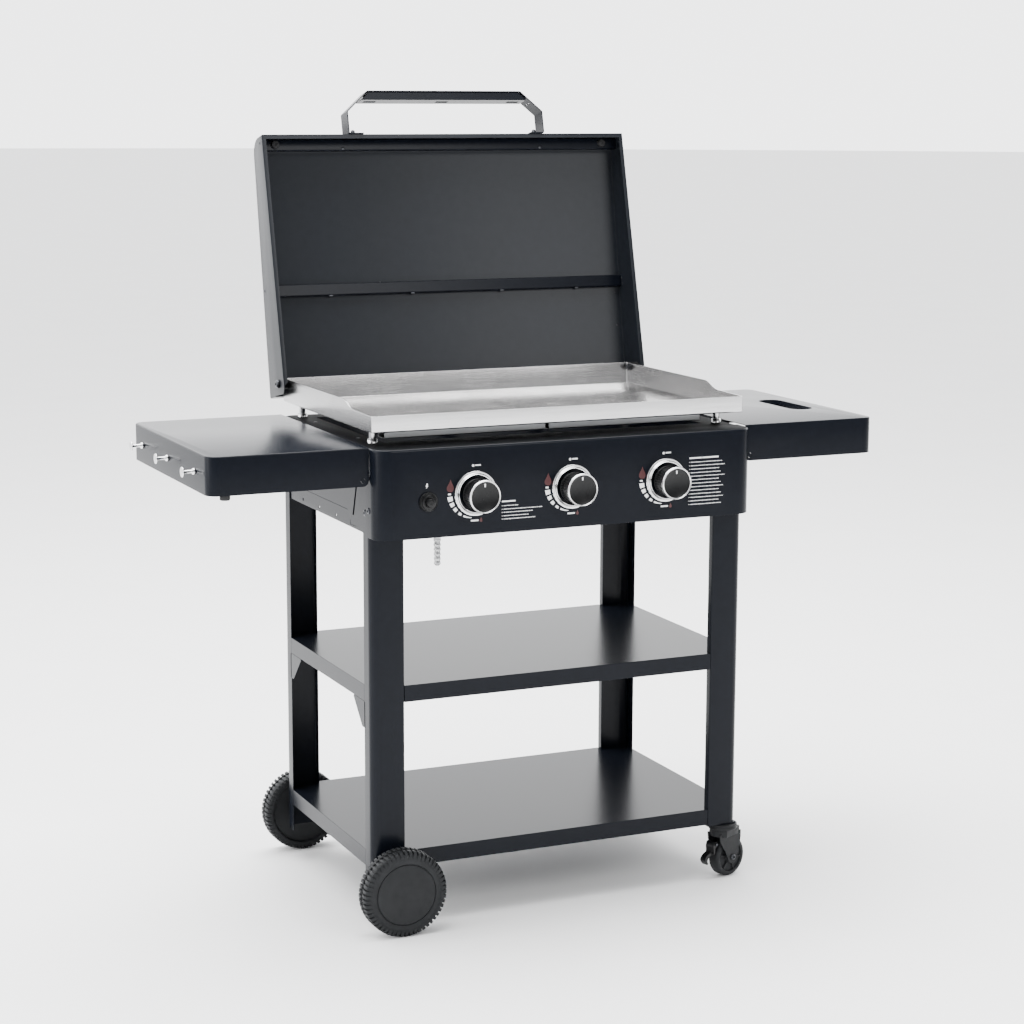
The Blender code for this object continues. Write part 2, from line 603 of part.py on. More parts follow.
def lid_fittings():
    """Front stiffening channel, middle rib, rubber bumpers, hinge bolts and spacers, handle."""
    reach = LID_X - THIN - GAP
    channel = [(0.0, 0.433), (0.0, 0.4540), (0.005, 0.4540), (0.005, 0.4525), (0.0015, 0.4525),
               (0.0015, 0.4345), (0.011, 0.4345), (0.011, 0.433)]
    prism("lid_front_channel", channel, -reach, reach, powder_coat("channel"), LID_FRAME @ SIDE_VIEW)
    depth = lid_depth(0.177) - THIN - 2 * GAP
    rib = [(0.0330, 0.166), (0.0330, 0.188), (depth - 0.0012, 0.188), (depth - 0.0012, 0.1868),
           (0.0342, 0.1868), (0.0342, 0.1672), (depth, 0.1672), (depth, 0.166)]
    prism("lid_rib", rib, -reach, reach, powder_coat("rib"), LID_FRAME @ SIDE_VIEW)
    for side, sign in (("left", -1), ("right", 1)):
        here = LID_FRAME @ Matrix.Translation((sign * 0.336, 0, 0.444)) @ TO_REAR
        smooth(turned(f"lid_bumper_{side}", [(0, -GAP), (0.008, -GAP), (0.007, -0.006), (0, -0.006)],
                      plastic(f"bumper_{side}"), here, 16))
        inner = PAN_X + GAP
        outer = LID_X - THIN - GAP
        across = Matrix.Translation((0, HINGE_Y, HINGE_Z)) @ (
            TO_RIGHT if sign > 0 else Matrix.Rotation(-math.pi / 2, 4, "Y"))
        hole = STEM_RADIUS + GAP
        collar = [(hole, outer), (0.010, outer), (0.010, inner), (hole, inner), (hole, outer)]
        smooth(turned(f"hinge_spacer_{side}", collar, plastic(f"spacer_{side}"), across, 20))
        bolt = [(0, LID_X + 0.006), (0.005, LID_X + 0.006), (0.008, LID_X + 0.003), (0.008, LID_X + GAP),
                (STEM_RADIUS, LID_X + GAP), (STEM_RADIUS, PAN_X - 0.012), (0, PAN_X - 0.012)]
        smooth(turned(f"hinge_bolt_{side}", bolt, powder_coat(f"hinge_bolt_{side}"), across, 16))
    handle()


def handle():
    """Strap bracket bolted to the lid's nose, and the grip bar under its top run."""
    low = LID_LENGTH + GAP
    half = [(HANDLE_X - 0.030, low), (HANDLE_X, low), (HANDLE_X, HANDLE_BEND), (HANDLE_TOP_X, HANDLE_TOP)]
    path = half + [(-x, z) for x, z in reversed(half)]
    width = HANDLE_Y[1] - HANDLE_Y[0]
    view = LID_FRAME @ Matrix.Translation((0, HANDLE_Y[1], 0)) @ FRONT_VIEW
    ribbon("handle_bracket", path, width, 0.002, powder_coat("handle_bracket"), view, 1)
    top = HANDLE_TOP - 0.002 - GAP
    slope = (HANDLE_X - HANDLE_TOP_X) / (HANDLE_TOP - HANDLE_BEND)
    inner = HANDLE_TOP_X - 0.004
    wide = inner + GRIP_DROP * slope * 0.9
    bar = [(inner, top), (-inner, top), (-wide, top - GRIP_DROP + 0.002), (wide, top - GRIP_DROP + 0.002)]
    grip = prism("handle_grip", bar, 0.001, width - 0.001, powder_coat("handle_grip"), view)
    edge = grip.modifiers.new("edges", "BEVEL")
    edge.width = 0.0015
    edge.segments = 2
    return grip


# ---------------------------------------------------------------- side shelves

def side_shelf(name, side):
    """Deep tray with rounded outer corners, open towards the firebox."""
    corner = arc((WING_OUTER[side] - WING_RADIUS, WING_Y - WING_RADIUS), WING_RADIUS, 90, 0, 6)
    half = [(WING_INNER, WING_Y), *corner]
    outline = [(side * x, y) for x, y in half] + [(side * x, -y) for x, y in reversed(half)]
    obj = tray(name, outline, WING_TOP, WING_DEPTH, THIN, powder_coat(name), (len(outline) - 1,))
    low = WING_TOP - WING_DEPTH
    reach = WING_PIVOT * math.sqrt(2)
    for end in (-1, 1):
        spot = Matrix.Translation((side * WING_INNER, end * WING_Y, low))
        spot = spot @ Matrix.Rotation(math.pi / 4, 4, "Y")
        combine(obj, box(f"trim_{name}_{end}", (-reach / 2, -0.01, -reach / 2), (reach / 2, 0.01, reach / 2),
                         None, CUTTERS, spot))
    if side > 0:
        x, y, radius, half_length = HAND_HOLD
        slot = arc((x, y + half_length), radius, 0, 180, 8) + arc((x, y - half_length), radius, 180, 360, 8)
        combine(obj, prism("hand_hold", slot, WING_TOP - 0.02, WING_TOP + 0.02, None, None, CUTTERS))
    pivot_x, pivot_z = side * (WING_INNER + WING_PIVOT), low + WING_PIVOT
    cut_rod(obj, (pivot_x, -WING_Y - 0.01, pivot_z), (pivot_x, WING_Y + 0.01, pivot_z), STEM_RADIUS + GAP, 16)
    tip = WING_Y - GAP
    rod(name.replace("side_shelf", "shelf_hinge_rod"), (pivot_x, -tip, pivot_z), (pivot_x, tip, pivot_z),
        STEM_RADIUS, chrome(name + "_rod"), 16)
    return smooth(obj)


def shelf_fittings():
    """Three tool hooks on the left shelf's end and the rubber stop below it."""
    front = WING_OUTER[-1] + GAP
    hook = [(0, front + 0.024), (0.007, front + 0.024), (0.0085, front + 0.0225), (0.0085, front + 0.021),
            (0.003, front + 0.0195), (0.003, front + 0.006), (0.0055, front + 0.005), (0.0055, front),
            (0, front)]
    middle = WING_TOP - WING_DEPTH / 2
    for number, y in enumerate((-0.158, 0.001, 0.160), 1):
        here = Matrix.Translation((0, y, middle)) @ Matrix.Rotation(-math.pi / 2, 4, "Y")
        smooth(turned(f"tool_hook_{number}", hook, chrome(f"hook_{number}"), here, 18))
    low = WING_TOP - WING_DEPTH
    stop = [(0, low + 0.020), (0.005, low + 0.020), (0.005, low - GAP), (0.009, low - GAP),
            (0.0085, low - 0.009), (0, low - 0.009)]
    here = Matrix.Translation((-0.609, -0.2165, 0))
    smooth(turned("shelf_stop_left", stop, plastic("shelf_stop"), here, 18))


# ---------------------------------------------------------------- rolling gear

def cart_wheels():
    """Two plain plastic wheels outboard of the left legs, on one axle."""
    bore = AXLE_RADIUS + GAP
    r, width = WHEEL_RADIUS, WHEEL_OUTER - WHEEL_INNER
    profile = [(0, width), (0.052, width), (0.0535, width - 0.002), (r - 0.004, width - 0.002),
               (r, width - 0.006), (r, 0.006), (r - 0.004, 0.001), (0.020, 0.001), (0.020, 0.0),
               (bore, 0.0), (bore, width - 0.006), (0, width - 0.006)]
    for name, end in (("cart_wheel_front", -1), ("cart_wheel_rear", 1)):
        face = TO_REAR if end > 0 else Matrix.Rotation(math.pi / 2, 4, "X")
        here = Matrix.Translation((WHEEL_X, end * WHEEL_INNER, WHEEL_RADIUS)) @ face
        smooth(turned(name, profile, plastic(name), here, 40))
    tip = WHEEL_OUTER - 0.006 - GAP
    rod("wheel_axle", (WHEEL_X, -tip, WHEEL_RADIUS), (WHEEL_X, tip, WHEEL_RADIUS), AXLE_RADIUS,
        stainless("axle"), 20)


def caster(end_name, end):
    """Swivel caster: fork with its axle and brake pin, wheel and brake pedal."""
    heading = Matrix.Translation((CASTER_X, end * CASTER_Y, 0)) @ Matrix.Rotation(CASTER_HEADING, 4, "Z")
    view = heading @ FRONT_VIEW
    head_top, head_low = LEG_FOOT_CASTER - FOOT_PLATE - GAP, 0.091
    fork = rod(f"caster_fork_{end_name}", (0, 0, head_low), (0, 0, head_top), 0.027,
               plastic(f"fork_{end_name}"), 24, None, heading)
    outer = FORK_INNER + FORK_PLATE
    yoke = box("yoke_" + end_name, (-0.034, -outer, 0.080), (0.030, outer, head_low + 0.002),
               None, None, heading)
    combine(fork, yoke, "UNION")
    arm = [(-0.034, 0.084), (-0.034, 0.060), (-0.024, 0.056), (-0.004, 0.052), (0.004, 0.030),
           (CASTER_TRAIL, 0.026), (0.020, 0.030), (0.028, 0.052), (0.030, 0.084)]
    for sign in (-1, 1):
        low, high = sorted((sign * FORK_INNER, sign * outer))
        combine(fork, prism(f"arm_{end_name}_{sign}", arm, low, high, None, view), "UNION")
    axle = rod("caster_axle_" + end_name, (CASTER_TRAIL, -outer - 0.004, CASTER_RADIUS),
               (CASTER_TRAIL, outer + 0.004, CASTER_RADIUS), 0.004, None, 16, CUTTERS, heading)
    combine(fork, axle, "UNION")
    pin = rod("brake_pin_" + end_name, (-0.027, -outer, 0.068), (-0.027, outer, 0.068), 0.0025,
              None, 12, CUTTERS, heading)
    combine(fork, pin, "UNION")
    r, half = CASTER_RADIUS, CASTER_HALF_WIDTH
    bore = 0.004 + GAP
    tread = [(bore, half), (0.012, half), (0.014, half - 0.002), (r - 0.005, half - 0.002), (r, half - 0.006),
             (r, 0.006 - half), (r - 0.005, 0.002 - half), (0.014, 0.002 - half), (0.012, -half), (bore, -half),
             (bore, half)]
    spot = heading @ Matrix.Translation((CASTER_TRAIL, 0, CASTER_RADIUS)) @ TO_REAR
    smooth(turned(f"caster_wheel_{end_name}", tread, plastic(f"caster_wheel_{end_name}"), spot, 32))
    pedal = [(-0.0305, 0.0715), (-0.0235, 0.0715), (-0.0235, 0.0640), (-0.0290, 0.0600), (-0.0290, 0.0500),
             (-0.0405, 0.0460), (-0.0460, 0.0400), (-0.0430, 0.0330), (-0.0465, 0.0310), (-0.0520, 0.0400),
             (-0.0450, 0.0500), (-0.0335, 0.0530), (-0.0335, 0.0640)]
    brake = prism(f"brake_pedal_{end_name}", pedal, -0.010, 0.010, plastic(f"brake_{end_name}"), view)
    cut_rod(brake, (-0.027, -0.012, 0.068), (-0.027, 0.012, 0.068), 0.0025 + GAP, 12, heading)
    return smooth(fork)


def centre_over_origin():
    """Move the whole model so that the middle of its bounding box stands over the origin."""
    bpy.context.view_layer.update()
    depsgraph = bpy.context.evaluated_depsgraph_get()
    corners = []
    for obj in PARTS.objects:
        shape = obj.evaluated_get(depsgraph)
        mesh = shape.to_mesh()
        corners += [shape.matrix_world @ vert.co for vert in mesh.vertices]
        shape.to_mesh_clear()
    middle = [(min(c[i] for c in corners) + max(c[i] for c in corners)) / 2 for i in range(2)]
    shift = Matrix.Translation((-middle[0], -middle[1], 0))
    for obj in list(PARTS.objects) + list(CUTTERS.objects):
        obj.matrix_world = shift @ obj.matrix_world
    bpy.context.view_layer.update()
    print("origin moved by", [round(-value, 6) for value in middle])


for leg_name, leg_side, leg_end in (("leg_front_left", -1, -1), ("leg_rear_left", -1, 1),
                                    ("leg_front_right", 1, -1), ("leg_rear_right", 1, 1)):
    leg(leg_name, leg_side, leg_end)
for shelf_name in SHELF_TOPS:
    shelf(shelf_name)
firebox()
control_panel()
for burner_index, burner_x in enumerate(BURNER_X):
    burner_line(burner_index, burner_x)
gas_supply()
igniter()
griddle_plate()
griddle_posts()
lid_shell()
lid_fittings()
side_shelf("side_shelf_left", -1)
side_shelf("side_shelf_right", 1)
shelf_fittings()
cart_wheels()
caster("front", -1)
caster("rear", 1)
centre_over_origin()
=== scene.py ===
"""Looks of the flat top griddle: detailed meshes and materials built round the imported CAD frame.

Lengths are metres in the cart's own frame: X = 0 midway between the legs, Y = 0 midway between
the front and rear legs, the control panel faces -Y. CART carries that frame to the row frame.
"""
import math

import bmesh
import bpy
from mathutils import Matrix, Vector


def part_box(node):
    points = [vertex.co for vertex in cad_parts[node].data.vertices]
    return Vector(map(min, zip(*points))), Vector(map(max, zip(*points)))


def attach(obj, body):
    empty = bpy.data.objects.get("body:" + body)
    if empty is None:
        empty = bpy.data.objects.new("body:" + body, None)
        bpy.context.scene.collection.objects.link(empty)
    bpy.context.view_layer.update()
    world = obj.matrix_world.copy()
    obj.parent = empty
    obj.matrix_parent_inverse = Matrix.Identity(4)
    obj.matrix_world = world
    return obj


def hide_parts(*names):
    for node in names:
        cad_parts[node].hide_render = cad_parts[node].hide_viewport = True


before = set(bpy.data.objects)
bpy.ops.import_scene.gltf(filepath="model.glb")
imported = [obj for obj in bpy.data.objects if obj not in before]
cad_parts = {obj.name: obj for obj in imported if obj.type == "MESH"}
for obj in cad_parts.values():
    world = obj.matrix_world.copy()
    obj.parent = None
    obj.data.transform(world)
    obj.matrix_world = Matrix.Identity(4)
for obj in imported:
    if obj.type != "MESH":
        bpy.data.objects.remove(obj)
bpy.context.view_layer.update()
PLATE_LOW, PLATE_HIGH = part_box("griddle_plate")
CART = Matrix.Translation(((PLATE_LOW.x + PLATE_HIGH.x) / 2, (PLATE_LOW.y + PLATE_HIGH.y) / 2, 0.0))
SCENE = bpy.context.scene

TO_REAR = Matrix.Rotation(-math.pi / 2, 4, "X")       # local Z -> +Y
TO_FRONT = Matrix.Rotation(math.pi / 2, 4, "X")       # local Z -> -Y
TO_RIGHT = Matrix.Rotation(math.pi / 2, 4, "Y")       # local Z -> +X
TO_LEFT = Matrix.Rotation(-math.pi / 2, 4, "Y")       # local Z -> -X
OUTWARD = {-1: TO_LEFT, 1: TO_RIGHT}
SIDE_VIEW = Matrix(((0, 0, 1, 0), (1, 0, 0, 0), (0, 1, 0, 0), (0, 0, 0, 1)))     # (y, z) along X
FRONT_VIEW = Matrix(((1, 0, 0, 0), (0, 0, -1, 0), (0, 1, 0, 0), (0, 0, 0, 1)))   # (x, z) towards -Y

HINGE = (0.0, 0.213, 0.906)
LID = Matrix.Translation(HINGE) @ Matrix.Rotation(-math.radians(13.6), 4, "X")
BOLT_HOLE = 0.0043
PANEL_X, PANEL_FRONT = 0.3605, -0.264
PANEL_SEAT = -PANEL_FRONT + 0.0003
FIREBOX_X, FIREBOX_TOP = 0.357, 0.845
KNOB_X = (-0.182, 0.0, 0.182)
KNOB_Z = 0.7645
KNOB_BODIES = ("1", "2", "3")
IGNITER_X, IGNITER_Z = -0.2686, 0.755
WING_OUTER = {-1: 0.641, 1: 0.633}
FOLD_PIVOT = 0.3715
WHEEL_X, WHEEL_Z = -0.318, 0.0762


# ---------------------------------------------------------------- materials

def new_material(name):
    mat = bpy.data.materials.new(name)
    mat.use_nodes = True
    return mat, mat.node_tree, mat.node_tree.nodes["Principled BSDF"]


def feed(tree, made, inputs):
    """Link or set each named input of a node."""
    for key, value in inputs.items():
        if isinstance(value, bpy.types.NodeSocket):
            tree.links.new(value, made.inputs[key])
        else:
            made.inputs[key].default_value = value


def node(tree, kind, inputs, **settings):
    made = tree.nodes.new(kind)
    for key, value in settings.items():
        setattr(made, key, value)
    feed(tree, made, inputs)
    return made


def noise(tree, scale, stretch=(1.0, 1.0, 1.0), detail=3.0, roughness=0.55):
    """Noise in object space, in features per metre, stretched along an axis by a small factor."""
    place = node(tree, "ShaderNodeTexCoord", {}).outputs["Object"]
    mapped = node(tree, "ShaderNodeMapping", {"Vector": place, "Scale": stretch}).outputs["Vector"]
    made = node(tree, "ShaderNodeTexNoise", {"Vector": mapped, "Scale": scale, "Detail": detail,
                                             "Roughness": roughness})
    return made.outputs["Fac"]


def spread(tree, fac, low, high, start=0.3, end=0.7):
    """Map a 0-1 value to low..high, clamped."""
    return node(tree, "ShaderNodeMapRange", {"Value": fac, "From Min": start, "From Max": end,
                                             "To Min": low, "To Max": high}).outputs["Result"]


def tint(tree, fac, first, second, start=0.3, end=0.7):
    ramp = node(tree, "ShaderNodeValToRGB", {"Fac": fac})
    ramp.color_ramp.elements[0].position = start
    ramp.color_ramp.elements[0].color = (*first, 1.0)
    ramp.color_ramp.elements[1].position = end
    ramp.color_ramp.elements[1].color = (*second, 1.0)
    return ramp.outputs["Color"]


def bump(tree, height, strength, distance, normal=None):
    inputs = {"Height": height, "Strength": strength, "Distance": distance}
    if normal is not None:
        inputs["Normal"] = normal
    return node(tree, "ShaderNodeBump", inputs).outputs["Normal"]


def coat_material(name, dark, light, rough=(0.24, 0.27), ior=1.32, grain=0.022, level=0.21):
    """Powder coat: near-black, orange peel under a fine grain, a soft even sheen."""
    mat, tree, shader = new_material(name)
    peel = bump(tree, noise(tree, 420.0, detail=2.0), grain, 0.0006)
    feed(tree, shader, {
        "Base Color": tint(tree, noise(tree, 60.0, detail=4.0), dark, light),
        "Roughness": spread(tree, noise(tree, 300.0, detail=4.0), *rough),
        "Normal": bump(tree, noise(tree, 2600.0, detail=1.0), grain * 0.9, 0.0002, peel),
        "IOR": ior, "Specular IOR Level": level})
    return mat


def brushed_material(name, axis, colour=(0.56, 0.558, 0.56), rough=(0.18, 0.32)):
    """Brushed stainless steel with its grain along one axis."""
    mat, tree, shader = new_material(name)
    fine, broad = (tuple(share if k == axis else 1.0 for k in range(3)) for share in (0.012, 0.05))
    grain = noise(tree, 1500.0, fine, detail=4.0, roughness=0.7)
    dim = tuple(c * 0.92 for c in colour)
    lit = tuple(min(1.0, c * 1.06) for c in colour)
    mixed = node(tree, "ShaderNodeMath", {0: grain, 1: noise(tree, 9.0)}, operation="MULTIPLY")
    feed(tree, shader, {
        "Base Color": tint(tree, noise(tree, 160.0, broad), dim, lit),
        "Roughness": spread(tree, mixed.outputs["Value"], *rough, 0.12, 0.42),
        "Normal": bump(tree, grain, 0.1, 0.0003),
        "Metallic": 1.0, "Anisotropic": 0.55})
    return mat


def polished_material(name, colour=(0.78, 0.78, 0.785), rough=(0.07, 0.16)):
    mat, tree, shader = new_material(name)
    feed(tree, shader, {
        "Base Color": tint(tree, noise(tree, 120.0), tuple(c * 0.93 for c in colour), colour),
        "Roughness": spread(tree, noise(tree, 320.0, detail=4.0), *rough),
        "Normal": bump(tree, noise(tree, 1800.0), 0.03, 0.0002),
        "Metallic": 1.0})
    return mat


def plastic_material(name, dark, light, rough=(0.42, 0.58), grain=0.25):
    """Moulded plastic or rubber with a fine spark-eroded grain."""
    mat, tree, shader = new_material(name)
    feed(tree, shader, {
        "Base Color": tint(tree, noise(tree, 30.0, detail=5.0), dark, light),
        "Roughness": spread(tree, noise(tree, 90.0, detail=4.0), *rough),
        "Normal": bump(tree, noise(tree, 2200.0, detail=2.0), grain, 0.0003),
        "IOR": 1.45, "Specular IOR Level": 0.25})
    return mat


def ink_material(name, colour):
    mat, tree, shader = new_material(name)
    feed(tree, shader, {
        "Base Color": tint(tree, noise(tree, 900.0), tuple(c * 0.86 for c in colour), colour),
        "Roughness": spread(tree, noise(tree, 600.0), 0.45, 0.6)})
    return mat


COAT = coat_material("powder_coat", (0.0034, 0.0044, 0.0072), (0.0042, 0.0054, 0.0086))
# Painted sheen: the lid gets the same powder coat in a lighter colour, standing for the light reflected
# inside the lid.
COAT_LID_PAINTED_SHEEN = coat_material("powder_coat_lid_painted_sheen", (0.0085, 0.0102, 0.0135), (0.0098, 0.0116, 0.015),
                         rough=(0.33, 0.37), ior=1.46)
MATTE = coat_material("powder_coat_matte", (0.0022, 0.0025, 0.0032), (0.0034, 0.0038, 0.0046),
                      rough=(0.62, 0.72), ior=1.25, level=0.15)
STEEL_X = brushed_material("stainless_brushed_x", 0)
STEEL_Y = brushed_material("stainless_brushed_y", 1)
STRIP = brushed_material("stainless_strip", 0, (0.24, 0.245, 0.25), (0.34, 0.46))
PLATE = brushed_material("stainless_cooking_face", 0, (0.74, 0.725, 0.715), (0.16, 0.3))
ZINC = brushed_material("zinc_fitting", 2, (0.46, 0.465, 0.47), (0.28, 0.45))
BRASS = brushed_material("machined_brass", 2, (0.58, 0.44, 0.21), (0.25, 0.42))
CHROME = polished_material("chrome")
SCREW = polished_material("black_zinc_screw", (0.06, 0.062, 0.068), (0.25, 0.4))
PLASTIC = plastic_material("moulded_plastic", (0.0055, 0.0062, 0.0072), (0.0085, 0.0092, 0.0105))
KNOB = plastic_material("knob_plastic", (0.003, 0.0032, 0.0036), (0.0042, 0.0045, 0.005), (0.26, 0.34),
                        grain=0.05)
SHADOW = plastic_material("shadow_gap", (0.002, 0.002, 0.002), (0.004, 0.004, 0.004), (0.8, 0.9))
TREAD = plastic_material("wheel_plastic", (0.009, 0.0098, 0.011), (0.012, 0.013, 0.0145), (0.5, 0.66))
RUBBER = plastic_material("rubber", (0.016, 0.016, 0.017), (0.025, 0.025, 0.026), (0.6, 0.78))
WHITE_INK = ink_material("white_print", (0.97, 0.97, 0.97))
RED_INK = ink_material("red_print", (0.05, 0.005, 0.006))


# ---------------------------------------------------------------- mesh helpers

def arc(centre, radius, start, end, steps):
    """Points on an arc, angles in degrees, both ends included."""
    angles = [math.radians(start + (end - start) * i / steps) for i in range(steps + 1)]
    return [(centre[0] + radius * math.cos(a), centre[1] + radius * math.sin(a)) for a in angles]


def rectangle(left, right, low, high):
    return [(left, low), (right, low), (right, high), (left, high)]


def hexagon(radius):
    return arc((0, 0), radius, 0, 300, 5)


def span(side, near, far):
    """Two distances measured out on one side (-1 or 1), as coordinates in rising order."""
    return sorted((side * near, side * far))


def at(x, y, z):
    return Matrix.Translation((x, y, z))


def move(bm, matrix):
    if matrix is not None:
        bmesh.ops.transform(bm, matrix=matrix, verts=bm.verts)
    return bm


def temporary(bm):
    mesh = bpy.data.meshes.new("temporary")
    bm.to_mesh(mesh)
    bm.free()
    obj = bpy.data.objects.new("temporary", mesh)
    SCENE.collection.objects.link(obj)
    return obj


def applied(obj, others=()):
    """The object's evaluated mesh as a bmesh; the object and its helpers are removed."""
    bpy.context.view_layer.update()
    depsgraph = bpy.context.evaluated_depsgraph_get()
    mesh = bpy.data.meshes.new_from_object(obj.evaluated_get(depsgraph))
    result = bmesh.new()
    result.from_mesh(mesh)
    bpy.data.meshes.remove(mesh)
    for used in (obj, *others):
        data = used.data
        bpy.data.objects.remove(used)
        bpy.data.meshes.remove(data)
    return result


def thicken(bm, thickness, side=-1, exact=False):
    """Turn an open sheet into a solid one."""
    obj = temporary(bm)
    shell = obj.modifiers.new("sheet", "SOLIDIFY")
    shell.thickness = thickness
    shell.offset = side
    shell.use_even_offset = True
    if exact:
        shell.solidify_mode = "NON_MANIFOLD"
        shell.nonmanifold_thickness_mode = "CONSTRAINTS"
    return applied(obj)


def carve(bm, *cutters):
    """Cut closed shapes out of a closed shape."""
    obj = temporary(bm)
    tools = [temporary(cutter) for cutter in cutters]
    for tool in tools:
        step = obj.modifiers.new("cut", "BOOLEAN")
        step.operation = "DIFFERENCE"
        step.solver = "EXACT"
        step.object = tool
    return applied(obj, tools)


def merge(target, extra, material=None):
    """Add one bmesh to another, with its faces on a material index."""
    mesh = bpy.data.meshes.new("merge")
    if material is not None:
        for face in extra.faces:
            face.material_index = material
    extra.to_mesh(mesh)
    extra.free()
    target.from_mesh(mesh)
    bpy.data.meshes.remove(mesh)
    return target


def slab(outline, low, high, matrix=None):
    """A flat outline in local XY raised from Z = low to high."""
    bm = bmesh.new()
    bottom = [bm.verts.new((x, y, low)) for x, y in outline]
    top = [bm.verts.new((x, y, high)) for x, y in outline]
    bm.faces.new(bottom)
    bm.faces.new(top)
    count = len(outline)
    for i in range(count):
        j = (i + 1) % count
        bm.faces.new((bottom[i], bottom[j], top[j], top[i]))
    bmesh.ops.recalc_face_normals(bm, faces=bm.faces)
    return move(bm, matrix)


def block(low, high, matrix=None):
    return slab(rectangle(low[0], high[0], low[1], high[1]), low[2], high[2], matrix)


def lathe(profile, steps=48, matrix=None):
    """A solid of revolution about local Z. The profile holds (radius, height); radius 0 is a pole."""
    bm = bmesh.new()
    rings = []
    for radius, height in profile:
        if radius < 1e-7:
            rings.append([bm.verts.new((0.0, 0.0, height))])
            continue
        turn = [2 * math.pi * k / steps for k in range(steps)]
        rings.append([bm.verts.new((radius * math.cos(a), radius * math.sin(a), height)) for a in turn])
    for first, second in zip(rings, rings[1:]):
        for k in range(steps):
            m = (k + 1) % steps
            corners = [first[k % len(first)], first[m % len(first)], second[m % len(second)],
                       second[k % len(second)]]
            unique = list(dict.fromkeys(corners))
            if len(unique) > 2:
                bm.faces.new(unique)
    bmesh.ops.remove_doubles(bm, verts=bm.verts, dist=1e-7)
    bmesh.ops.recalc_face_normals(bm, faces=bm.faces)
    return move(bm, matrix)


def bar(start, end, radius, steps=24):
    start, end = Vector(start), Vector(end)
    length = (end - start).length
    turn = Vector((0, 0, 1)).rotation_difference(end - start).to_matrix().to_4x4()
    profile = [(0, length), (radius, length), (radius, 0), (0, 0)]
    return lathe(profile, steps, Matrix.Translation(start) @ turn)


def ribbon(path, height, thickness, side, matrix=None):
    """A folded sheet: a flat path raised by height, thickened to its left (+1) or right (-1)."""
    bm = bmesh.new()
    low = [bm.verts.new((x, y, 0.0)) for x, y in path]
    high = [bm.verts.new((x, y, height)) for x, y in path]
    for i in range(len(path) - 1):
        bm.faces.new((low[i], low[i + 1], high[i + 1], high[i]))
    bm.normal_update()
    bm.faces.ensure_lookup_table()
    ahead = Vector((*path[1], 0)) - Vector((*path[0], 0))
    if bm.faces[0].normal.dot(Vector((-ahead.y, ahead.x, 0))) < 0:
        bmesh.ops.reverse_faces(bm, faces=bm.faces)
    bm = thicken(bm, thickness, side)
    return move(bm, matrix)


def tray_shell(outline, top, depth, open_edges=(), rim=0.002):
    """Open sheet of a shelf: a flat outline with rounded rim and folded edges, before thickening."""
    bm = bmesh.new()
    upper = [bm.verts.new((x, y, top)) for x, y in outline]
    lower = [bm.verts.new((x, y, top - depth)) for x, y in outline]
    roof = bm.faces.new(upper)
    count = len(outline)
    for i in range(count):
        if i not in open_edges:
            j = (i + 1) % count
            bm.faces.new((upper[i], upper[j], lower[j], lower[i]))
    loose = [v for v in bm.verts if not v.link_faces]
    bmesh.ops.delete(bm, geom=loose, context="VERTS")
    bmesh.ops.recalc_face_normals(bm, faces=bm.faces)
    bm.normal_update()
    if roof.normal.z < 0:
        bmesh.ops.reverse_faces(bm, faces=bm.faces)
    edges = [e for e in bm.edges if len(e.link_faces) == 2
             and all(abs(v.co.z - top) < 1e-7 for v in e.verts)]
    if rim:
        bmesh.ops.bevel(bm, geom=edges, offset=rim, segments=3, profile=0.5, affect="EDGES")
    return bm


def flat_strip(quads, height):
    """A level sheet one millimetre thick, made of quads that share corners."""
    strip = bmesh.new()
    for quad in quads:
        strip.faces.new([strip.verts.new((*p, height)) for p in quad])
    bmesh.ops.remove_doubles(strip, verts=strip.verts, dist=1e-5)
    bmesh.ops.dissolve_degenerate(strip, edges=strip.edges, dist=1e-5)
    bmesh.ops.recalc_face_normals(strip, faces=strip.faces)
    return thicken(strip, 0.001, 0)


def screw_head(radius, height, matrix, steps=24):
    """Pan-head screw with a hexagon socket, its head towards local +Z."""
    socket = radius * 0.45
    profile = [(0, height * 0.35), (socket, height * 0.35), (socket, height * 0.96), (radius * 0.62, height),
               (radius * 0.9, height * 0.72), (radius, height * 0.3), (radius, 0), (0, 0)]
    return lathe(profile, steps, matrix)


def dome(radius, height, matrix, steps=20):
    profile = [(0, height), (radius * 0.5, height * 0.9), (radius * 0.86, height * 0.55), (radius, 0), (0, 0)]
    return lathe(profile, steps, matrix)


def add(name, bm, mats, body, edge=0.0003, print_only=False):
    """Link a finished mesh as a piece that rides a body; its sharp edges get a small round.

    The piece stands for the CAD node of its own name, apart from print, which stands for none.
    """
    mesh = bpy.data.meshes.new(name)
    bm.to_mesh(mesh)
    bm.free()
    mats = mats if isinstance(mats, (list, tuple)) else [mats]
    for mat in mats:
        mesh.materials.append(mat)
    obj = bpy.data.objects.new(name, mesh)
    obj.matrix_world = CART
    SCENE.collection.objects.link(obj)
    mesh.shade_smooth()
    sharp = math.radians(38.0)
    mesh.set_sharp_from_angle(angle=sharp)
    if edge:
        round_edges = obj.modifiers.new("edges", "BEVEL")
        round_edges.width = edge
        round_edges.segments = 2
        round_edges.limit_method = "ANGLE"
        round_edges.angle_limit = sharp
        round_edges.harden_normals = True
        round_edges.use_clamp_overlap = True
    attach(obj, body)
    if not print_only:
        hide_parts(name)


def dress(name, mat):
    """Give a CAD node that stays visible its material."""
    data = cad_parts[name].data
    if not data.materials:
        data.materials.append(mat)
    for index in range(len(data.materials)):
        data.materials[index] = mat


# ---------------------------------------------------------------- cart frame

LEG_X, LEG_Y = 0.359, 0.2295
LEG_TOP = 0.745
SHEET, THIN_SHEET = 0.0015, 0.0012


